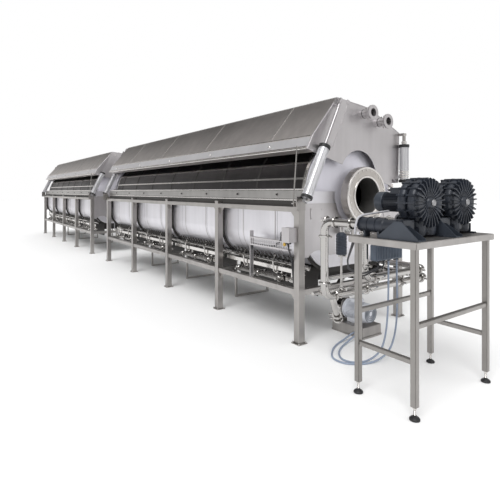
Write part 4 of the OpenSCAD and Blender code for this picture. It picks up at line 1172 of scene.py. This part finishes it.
def controls():
    """Ribbed drive box with glands, junction box and perforated cable tray."""
    box = Shape().block(0.722, 0.798, 0.24, 0.64, 0.945, 1.095)
    box_mesh = box.mesh("box", 0, 0.006)
    fin = loose(Shape().block(-0.006, 0.0, -0.004, 0.004, -0.062, 0.062))
    back_fin = loose(Shape().block(0.0, 0.006, -0.004, 0.004, -0.062, 0.062))
    fins = [row(fin, "motor paint", (0.7225, 0.27, 1.02), (0, 0.024, 0), 15),
            row(back_fin, "motor paint", (0.7975, 0.27, 1.02), (0, 0.024, 0), 15)]
    hangers = Shape()
    for y in (0.27, 0.61):
        hangers.block(0.755, 0.765, y - 0.015, y + 0.015, 1.095, 1.19)
        hangers.block(0.755, 1.04, y - 0.015, y + 0.015, 1.185, 1.1945)
    piece = settle(joined([box_mesh, hangers.mesh("hangers", 0, 0.001)] + fins, "box"),
                   "drive_box", "line", "motor paint")
    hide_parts("control_box")
    glands = Shape()
    for y in (0.32, 0.395, 0.47, 0.6):
        glands.lathe((0.76, y, 0.9455), -Z, ((0, 0.02), (0.006, 0.02), (0.007, 0.015), (0.0155, 0.0125)),
                     12)
    glands.piece("drive_box_glands", "line", "black polymer", "black_polymer")
    leads = Shape()
    for i, y in enumerate((0.32, 0.395)):
        leads.tube(bent([(0.76, y, 0.935), (0.76, y, 0.88), (0.72 - 0.02 * i, 0.16, 0.83 - 0.03 * i),
                         (0.72, -0.06, 0.9), (0.8, -0.16, 1.0), (0.9, -0.18 - 0.02 * i, 1.19)],
                        0.12, 8), 0.0075, 10)
    leads.piece("drive_leads", "line", "cable jacket", "black_polymer")
    junction = Shape().block(-0.11, 0.012, -0.148, -0.043, 1.067, 1.218)
    junction.block(-0.1125, 0.0145, -0.151, -0.1405, 1.0645, 1.2205)
    junction_mesh = junction.mesh("junction", 0, 0.003)
    tray = tray_shape().mesh("tray")
    piece = settle(joined([junction_mesh, tray], "wiring"), "junction_box_and_tray", "line",
                   "satin sheet")
    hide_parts("wiring")
    small = Shape()
    for z in (1.09, 1.13, 1.17):
        small.lathe((-0.11, -0.095, z), -X, ((0, 0.015), (0.008, 0.015), (0.009, 0.011),
                                            (0.028, 0.009)), 12)
    for y in (-0.12, -0.085):
        small.lathe((-0.05, y, 1.0665), -Z, ((0, 0.015), (0.008, 0.015), (0.022, 0.009)), 12)
    small.piece("junction_glands", "line", "black polymer", "black_polymer")
    cables = Shape()
    for i, z in enumerate((1.09, 1.13, 1.17)):
        y = -0.05 + 0.014 * i
        cables.tube(bent([(-0.13, -0.095, z), (-0.19, -0.095, z - 0.01), (-0.26, y, 1.06),
                          (-0.36, y, 0.99), (-0.5, y, 0.974), (-0.795, y, 0.974),
                          (-0.806, y, 0.9), (-0.806, y, 0.62)], 0.05, 6), 0.0065, 8)
    for i in range(3):
        cables.tube(bent([(-0.05 - 0.01 * i, -0.12 + 0.017 * i, 1.05), (-0.05, -0.1, 0.98),
                          (-0.058, -0.056 + 0.012 * i, 0.86), (-0.058, -0.03 + 0.012 * i, 0.62)],
                         0.05, 6), 0.0055, 8)
    cables.piece("tray_cables", "line", "cable jacket", "black_polymer")
    brass = Shape()
    brass.lathe((-0.085, -0.13, 1.0645), -Z, ((0, 0.012), (0.012, 0.012), (0.013, 0.018), (0.03, 0.018),
                                             (0.04, 0.009), (0.043, 0.004)), 16)
    brass.piece("brass_silencers", "line", "brass", "cast_aluminium")


def tray_shape():
    """A U-shaped tray made of strips and bridges, so that its slots are real openings."""
    tray = Shape()
    x0, x1, pitch, thick = -0.8, -0.112, 0.043, 0.002
    for y in (-0.06, -0.012):
        for z0, z1 in ((0.962, 0.978), (1.006, 1.012), (1.046, 1.06)):
            tray.block(x0, x1, y, y + thick, z0, z1)
        x = x0
        while x < x1 - 0.01:
            tray.block(x, x + 0.011, y + 0.0001, y + thick - 0.0001, 0.978, 1.046)
            x += pitch
    for y0, y1 in ((-0.06, -0.046), (-0.039, -0.031), (-0.024, -0.01)):
        tray.block(x0, x1, y0, y1, 0.96, 0.962)
    x = x0
    while x < x1 - 0.01:
        tray.block(x, x + 0.011, -0.046, -0.024, 0.9601, 0.9619)
        x += pitch
    tray.block(-0.812, -0.801, -0.06, -0.01, 0.57, 1.13)
    return tray


def feed_pump():
    """Motor pump on its base under the infeed end."""
    y, z = 0.78, 0.25
    base = Shape().block(-0.13, 0.33, 0.62, 0.94, 0.0, 0.02)
    base.block(-0.12, 0.32, 0.621, 0.939, 0.02, 0.12)
    piece = base.piece("pump_base", "line", "ground steel", "brushed_steel", 0, 0.004)
    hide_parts("pump")
    motor = Shape()
    motor.lathe((-0.015, y, z), X, ((0, 0.06), (0.0, 0.112), (0.018, 0.112), (0.02, 0.092),
                                    (0.24, 0.092), (0.243, 0.104), (0.3, 0.104), (0.314, 0.096),
                                    (0.318, 0.03)), 40)
    motor.block(0.03, 0.2, y - 0.075, y + 0.075, 0.1205, 0.17)
    motor.block(0.06, 0.17, y - 0.05, y + 0.05, z + 0.09, z + 0.13)
    fin = Shape().block(-0.004, 0.012, -0.0018, 0.0018, -0.1, 0.1)
    fins = ring(loose(fin), "light paint", (0.122, y, z), 0.092, 36)
    settle(joined([motor.mesh("motor", 0, 0.002), fins], "motor"), "pump_motor", "line",
           "light paint")
    volute = Shape()
    volute.lathe((-0.118, y, z), X, ((0, 0.04), (0, 0.075), (0.01, 0.11), (0.03, 0.12), (0.07, 0.12),
                                     (0.09, 0.11), (0.1, 0.075), (0.1, 0.04)), 40, True)
    volute.lathe((-0.07, y, z + 0.105), Z, ((0, 0.038), (0.1, 0.036), (0.1, 0.05), (0.12, 0.05)), 24)
    volute.clamp((-0.07, y, z + 0.22), Z, 0.038)
    volute.tube(bent([(-0.13, y, z), (-0.21, y, z), (-0.21, y, 0.42), (-0.21, 0.9, 0.56)], 0.06),
                0.035, 20)
    volute.piece("pump_volute", "line", "polished pipe", "polished_pipe")
    grille = Shape()
    for r in (0.03, 0.05, 0.07, 0.09):
        grille.lathe((0.3035, y, z), X, ((0, r), (0.004, r), (0.004, r + 0.006), (0, r + 0.006)), 36,
                     True)
    grille.piece("pump_fan_grille", "line", "motor paint", "motor_paint")


HOSE_ROUTES = {
    "front": ((0.76, 0.47, 0.93), (0.76, 0.47, 0.88), (0.761, 0.468, 0.78), (0.764, 0.463, 0.66),
              (0.768, 0.454, 0.54), (0.772, 0.44, 0.42), (0.775, 0.42, 0.3), (0.775, 0.39, 0.19),
              (0.771, 0.345, 0.105), (0.762, 0.28, 0.055), (0.745, 0.2, 0.025), (0.718, 0.13, 0.012),
              (0.68, 0.07, 0.01), (0.62, 0.035, 0.01), (0.55, 0.04, 0.01), (0.48, 0.085, 0.01),
              (0.42, 0.15, 0.01), (0.37, 0.225, 0.01), (0.33, 0.305, 0.01), (0.3, 0.39, 0.014),
              (0.285, 0.47, 0.028), (0.28, 0.545, 0.05), (0.28, 0.59, 0.06), (0.28, 0.62, 0.06)),
    "back": ((0.76, 0.6, 0.93), (0.76, 0.6, 0.88), (0.763, 0.598, 0.78), (0.77, 0.592, 0.66),
             (0.78, 0.58, 0.54), (0.79, 0.562, 0.42), (0.798, 0.536, 0.3), (0.802, 0.498, 0.19),
             (0.804, 0.44, 0.105), (0.802, 0.365, 0.055), (0.794, 0.28, 0.026), (0.775, 0.19, 0.012),
             (0.745, 0.105, 0.01), (0.7, 0.035, 0.01), (0.64, -0.015, 0.01), (0.57, -0.03, 0.01),
             (0.495, -0.015, 0.01), (0.43, 0.035, 0.01), (0.37, 0.105, 0.01), (0.315, 0.185, 0.01),
             (0.27, 0.275, 0.01), (0.24, 0.365, 0.012), (0.228, 0.45, 0.024), (0.225, 0.54, 0.05),
             (0.225, 0.59, 0.06), (0.225, 0.62, 0.06)),
}
HOSE_R = 0.009


def hose(name, route):
    """A free hose from the drive box to the pump, swept along a smooth curve through its route."""
    points = [Vector(p) for p in route]
    smooth = []
    for i in range(len(points) - 1):
        a, b = points[max(i - 1, 0)], points[i]
        c, d = points[i + 1], points[min(i + 2, len(points) - 1)]
        for j in range(4):
            t = j / 4
            smooth.append(0.5 * (2 * b + (c - a) * t + (2 * a - 5 * b + 4 * c - d) * t * t
                                 + (3 * b - a - 3 * c + d) * t ** 3))
    smooth.append(points[-1])
    piece = Shape().tube(smooth, HOSE_R, 14).piece(f"{name}_hose", "line", "hose jacket", "hose_blue")
    return piece


# ---- settings ----

class BlancherStage(bpy.types.PropertyGroup):
    """Floor and light round the machine."""
    floor_colour: FloatVectorProperty(name="Floor colour", description="Colour of the studio floor",
                                      subtype="COLOR", default=(0.93, 0.93, 0.93), min=0, max=1)
    key_power: FloatProperty(name="Key light", description="Strength of the sun lamp", default=1.6,
                             min=0, max=10)
    room_light: FloatProperty(name="Room light", description="Strength of the light from all round",
                              default=0.75, min=0, max=5)


class BlancherMetals(bpy.types.PropertyGroup):
    """Colours of the sheet metal."""
    steel: FloatVectorProperty(name="Frame steel", description="Colour of the legs and rails",
                               subtype="COLOR", default=(0.48, 0.46, 0.445), min=0, max=1)
    sheet: FloatVectorProperty(name="End sheets", description="Colour of the end plates",
                               subtype="COLOR", default=(0.63, 0.61, 0.62), min=0, max=1)
    tank: FloatVectorProperty(name="Tank", description="Colour of the tank's sheets",
                              subtype="COLOR", default=(0.82, 0.81, 0.85), min=0, max=1)
    cover: FloatVectorProperty(name="Hood", description="Colour of the hood's covers",
                               subtype="COLOR", default=(0.84, 0.79, 0.77), min=0, max=1)
    seam_pitch: FloatProperty(name="Seam pitch", description="Distance between the tank's seams",
                              subtype="DISTANCE", default=0.81, min=0.2, max=3)


class BlancherDrum(bpy.types.PropertyGroup):
    """The perforated drum."""
    band_pitch: FloatProperty(name="Band pitch", description="Distance between the screen's joints",
                              subtype="DISTANCE", default=0.83, min=0.3, max=3)
    band_width: FloatProperty(name="Band width", description="Width of a joint band",
                              subtype="DISTANCE", default=0.03, min=0.01, max=0.2)
    hole_pitch: FloatProperty(name="Hole pitch", description="Distance between the screen's holes",
                              subtype="DISTANCE", default=0.012, min=0.004, max=0.05)
    hole_radius: FloatProperty(name="Hole radius", description="Radius of one hole",
                               subtype="DISTANCE", default=0.0042, min=0.001, max=0.02)


class BlancherHood(bpy.types.PropertyGroup):
    """The lift-up hood."""
    open_angle: FloatProperty(name="Open angle", description="How far the hood stands open",
                              subtype="ANGLE", default=math.radians(15))
    joint_pitch: FloatProperty(name="Joint pitch", description="Distance between cover joints",
                               subtype="DISTANCE", default=1.6, min=0.3, max=3)
    joint_width: FloatProperty(name="Joint width", description="Width of a joint strip",
                               subtype="DISTANCE", default=0.022, min=0.005, max=0.1)


class BlancherStand(bpy.types.PropertyGroup):
    """The blower stand."""
    casing_ribs: IntProperty(name="Casing ribs", description="Ribs round a blower's ring",
                             default=20, min=6, max=60)
    cover_fins: IntProperty(name="Cover fins", description="Fins on a blower's end cover",
                            default=26, min=6, max=60)
    motor_fins: IntProperty(name="Motor fins", description="Cooling fins round a motor",
                            default=36, min=8, max=80)


class BlancherPipes(bpy.types.PropertyGroup):
    """The air pipes."""
    pipe_radius: FloatProperty(name="Pipe radius", description="Outer radius of the air pipes",
                               subtype="DISTANCE", default=0.035, min=0.01, max=0.1)
    bend_radius: FloatProperty(name="Bend radius", description="Radius of the pipe bends",
                               subtype="DISTANCE", default=0.11, min=0.05, max=0.4)


# ---- operators ----

class Make(bpy.types.Operator):
    """Base of the operators below."""
    bl_options = {"REGISTER", "UNDO"}


class BLANCHER_OT_stage(Make):
    """Builds the camera, the lights and the floor"""
    bl_idname = "blancher.stage"
    bl_label = "Stage"

    def execute(self, context):
        make_camera()
        make_world()
        make_floor()
        return {"FINISHED"}


class BLANCHER_OT_finishes(Make):
    """Builds the finishes and puts them on the frame's nodes"""
    bl_idname = "blancher.finishes"
    bl_label = "Finishes"

    def execute(self, context):
        row_tree()
        ring_tree()
        make_finishes()
        return {"FINISHED"}


class BLANCHER_OT_hoses(Make):
    """Lays the two free hoses"""
    bl_idname = "blancher.hoses"
    bl_label = "Hoses"

    def execute(self, context):
        pieces = [hose(name, route) for name, route in HOSE_ROUTES.items()]
        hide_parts("hoses")
        return {"FINISHED"}


class BLANCHER_OT_tanks(Make):
    """Trims the tanks, the leg frames and the ends of both units"""
    bl_idname = "blancher.tanks"
    bl_label = "Tanks and frames"

    def execute(self, context):
        for unit, k in UNITS:
            tank_trim(unit, k)
            frame_trim(unit, k)
            end_trim(unit, k)
        return {"FINISHED"}


class BLANCHER_OT_steam(Make):
    """Fits the steam nipples, drop pipes and valves"""
    bl_idname = "blancher.steam"
    bl_label = "Steam pipework"

    def execute(self, context):
        for unit, k in UNITS:
            steam_trim(unit, k)
            outfeed_services(k)
        return {"FINISHED"}


class BLANCHER_OT_drums(Make):
    """Trims the drums and their collars"""
    bl_idname = "blancher.drums"
    bl_label = "Drums"

    def execute(self, context):
        for unit, k in UNITS:
            drum_trim(unit, k)
        return {"FINISHED"}


class BLANCHER_OT_hoods(Make):
    """Trims the hoods"""
    bl_idname = "blancher.hoods"
    bl_label = "Hoods"

    def execute(self, context):
        for unit, k in UNITS:
            hood_trim(unit, k)
        return {"FINISHED"}


class BLANCHER_OT_lifting(Make):
    """Dresses the lifting cylinders"""
    bl_idname = "blancher.lifting"
    bl_label = "Lifting gear"

    def execute(self, context):
        for unit, k in UNITS:
            lifting_trim(unit, k)
        return {"FINISHED"}


class BLANCHER_OT_table(Make):
    """Builds the blower table"""
    bl_idname = "blancher.table"
    bl_label = "Table"

    def execute(self, context):
        table()
        return {"FINISHED"}


class BLANCHER_OT_blowers(Make):
    """Builds both blowers with their silencers"""
    bl_idname = "blancher.blowers"
    bl_label = "Blowers"

    def execute(self, context):
        for name, y in zip(("front", "back"), BLOWER_Y):
            casing = blower(f"{name}_blower", y, f"{name}_rotor")
            silencer(f"{name}_blower", y - 0.3)
            if name == "front":
                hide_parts("blower_casings", "blower_motors", "silencers")
        return {"FINISHED"}


class BLANCHER_OT_air_pipes(Make):
    """Builds the air pipes and their clamps"""
    bl_idname = "blancher.air_pipes"
    bl_label = "Air pipes"

    def execute(self, context):
        air_pipes()
        return {"FINISHED"}


class BLANCHER_OT_controls(Make):
    """Builds the drive box, the junction box and the cable tray"""
    bl_idname = "blancher.controls"
    bl_label = "Controls"

    def execute(self, context):
        controls()
        return {"FINISHED"}


class BLANCHER_OT_pump(Make):
    """Builds the feed pump"""
    bl_idname = "blancher.pump"
    bl_label = "Pump"

    def execute(self, context):
        feed_pump()
        return {"FINISHED"}


OPERATORS = (BLANCHER_OT_stage, BLANCHER_OT_finishes, BLANCHER_OT_hoses, BLANCHER_OT_tanks,
             BLANCHER_OT_steam, BLANCHER_OT_drums, BLANCHER_OT_hoods, BLANCHER_OT_lifting,
             BLANCHER_OT_table, BLANCHER_OT_blowers, BLANCHER_OT_air_pipes, BLANCHER_OT_controls,
             BLANCHER_OT_pump)
SETTINGS = {"blancher_stage": BlancherStage, "blancher_metals": BlancherMetals,
            "blancher_drum": BlancherDrum, "blancher_hood": BlancherHood,
            "blancher_stand": BlancherStand, "blancher_pipes": BlancherPipes}


class BLANCHER_PT_sidebar(bpy.types.Panel):
    """Lists the pieces and their settings"""
    bl_idname = "BLANCHER_PT_sidebar"
    bl_label = "Drum blancher"
    bl_space_type = "VIEW_3D"
    bl_region_type = "UI"
    bl_category = "Blancher"

    def draw(self, context):
        for operator in OPERATORS:
            self.layout.operator(operator.bl_idname)
        for name, group in SETTINGS.items():
            box = self.layout.box()
            for field in group.__annotations__:
                box.prop(getattr(context.scene, name), field)


# ---- stage ----

CAMERA_PLACE = (9.829, -3.675, 1.6)
CAMERA_TURN = 54.43
CAMERA_LENS = 30.28
CAMERA_SHIFT = -0.1174


def make_camera():
    data = bpy.data.cameras.new("camera")
    camera = bpy.data.objects.new("camera", data)
    bpy.context.scene.collection.objects.link(camera)
    camera.location = CAMERA_PLACE
    camera.rotation_euler = (math.pi / 2, 0, math.radians(CAMERA_TURN))
    data.sensor_width = 36
    data.lens = CAMERA_LENS
    data.shift_y = CAMERA_SHIFT
    data.clip_end = 200
    bpy.context.scene.camera = camera


def make_world():
    """White to the eye; in reflections a dark band above, a light floor, and upright stripes."""
    stage = bpy.context.scene.blancher_stage
    world = bpy.data.worlds.new("studio")
    bpy.context.scene.world = world
    world.use_nodes = True
    tree = world.node_tree
    tree.nodes.clear()
    up = wire(tree, "SeparateXYZ", i0=tree.nodes.new("ShaderNodeTexCoord").outputs["Generated"])
    level = wire(tree, "MapRange", Value=up.outputs[2], i1=-1.0, i2=1.0)
    ramp = wire(tree, "ValToRGB", Fac=level.outputs[0])
    stops = ((0.0, 0.85), (0.47, 0.8), (0.53, 0.72), (0.64, 0.36), (0.78, 0.22), (0.88, 0.5),
             (1.0, 0.95))
    points = ramp.color_ramp.elements
    points[0].position, points[0].color = stops[0][0], rgba([stops[0][1]] * 3)
    points[1].position, points[1].color = stops[-1][0], rgba([stops[-1][1]] * 3)
    for place, grey in stops[1:-1]:
        points.new(place).color = (grey, grey * 0.985, grey * 0.97, 1)
    turn = maths(tree, "ARCTAN2", up.outputs[1], up.outputs[0])
    wave = maths(tree, "SINE", maths(tree, "MULTIPLY", turn, 8.0))
    power = wire(tree, "MapRange", Value=wave, i1=-0.4, i2=0.4, i3=0.42, i4=1.4)
    mirrored = wire(tree, "Background", Color=ramp.outputs[0], Strength=power.outputs[0])
    seen = wire(tree, "Background", Color=(1, 1, 1, 1), Strength=1.0)
    diffuse = wire(tree, "Background", Color=(1, 1, 1, 1), Strength=stage.room_light)
    path = tree.nodes.new("ShaderNodeLightPath").outputs
    first = wire(tree, "MixShader", i0=path["Is Glossy Ray"], i1=diffuse.outputs[0],
                 i2=mirrored.outputs[0])
    last = wire(tree, "MixShader", i0=path["Is Camera Ray"], i1=first.outputs[0], i2=seen.outputs[0])
    out = tree.nodes.new("ShaderNodeOutputWorld")
    tree.links.new(last.outputs[0], out.inputs["Surface"])
    bpy.context.scene.view_settings.view_transform = "Standard"
    for name, power, size, turn in (("key", stage.key_power, 35, (38, 8, 20)),
                                    ("fill", stage.key_power * 0.35, 60, (55, 0, 115))):
        data = bpy.data.lights.new(name, "SUN")
        data.energy = power
        data.angle = math.radians(size)
        lamp = bpy.data.objects.new(name, data)
        lamp.rotation_euler = [math.radians(a) for a in turn]
        bpy.context.scene.collection.objects.link(lamp)


def make_floor():
    stage = bpy.context.scene.blancher_stage
    mesh = bpy.data.meshes.new("floor")
    half = 60
    mesh.from_pydata([(-half, -half, 0), (half, -half, 0), (half, half, 0), (-half, half, 0)], [],
                     [(0, 1, 2, 3)])
    floor = bpy.data.objects.new("floor", mesh)
    bpy.context.scene.collection.objects.link(floor)
    paint = bpy.data.materials.new("studio floor")
    paint.use_nodes = True
    shader = paint.node_tree.nodes["Principled BSDF"]
    shader.inputs["Base Color"].default_value = rgba(stage.floor_colour)
    shader.inputs["Roughness"].default_value = 0.9
    shader.inputs["Specular IOR Level"].default_value = 0.1
    mesh.materials.append(paint)


# ---- run ----

def register():
    for cls in (*SETTINGS.values(), *OPERATORS, BLANCHER_PT_sidebar):
        bpy.utils.register_class(cls)
    for name, group in SETTINGS.items():
        setattr(bpy.types.Scene, name, PointerProperty(type=group))


def unregister():
    for name in SETTINGS:
        delattr(bpy.types.Scene, name)
    for cls in reversed((*SETTINGS.values(), *OPERATORS, BLANCHER_PT_sidebar)):
        bpy.utils.unregister_class(cls)


def main():
    register()
    for operator in OPERATORS:
        getattr(bpy.ops.blancher, operator.bl_idname.split(".")[1])()


if __name__ == "__main__":
    main()
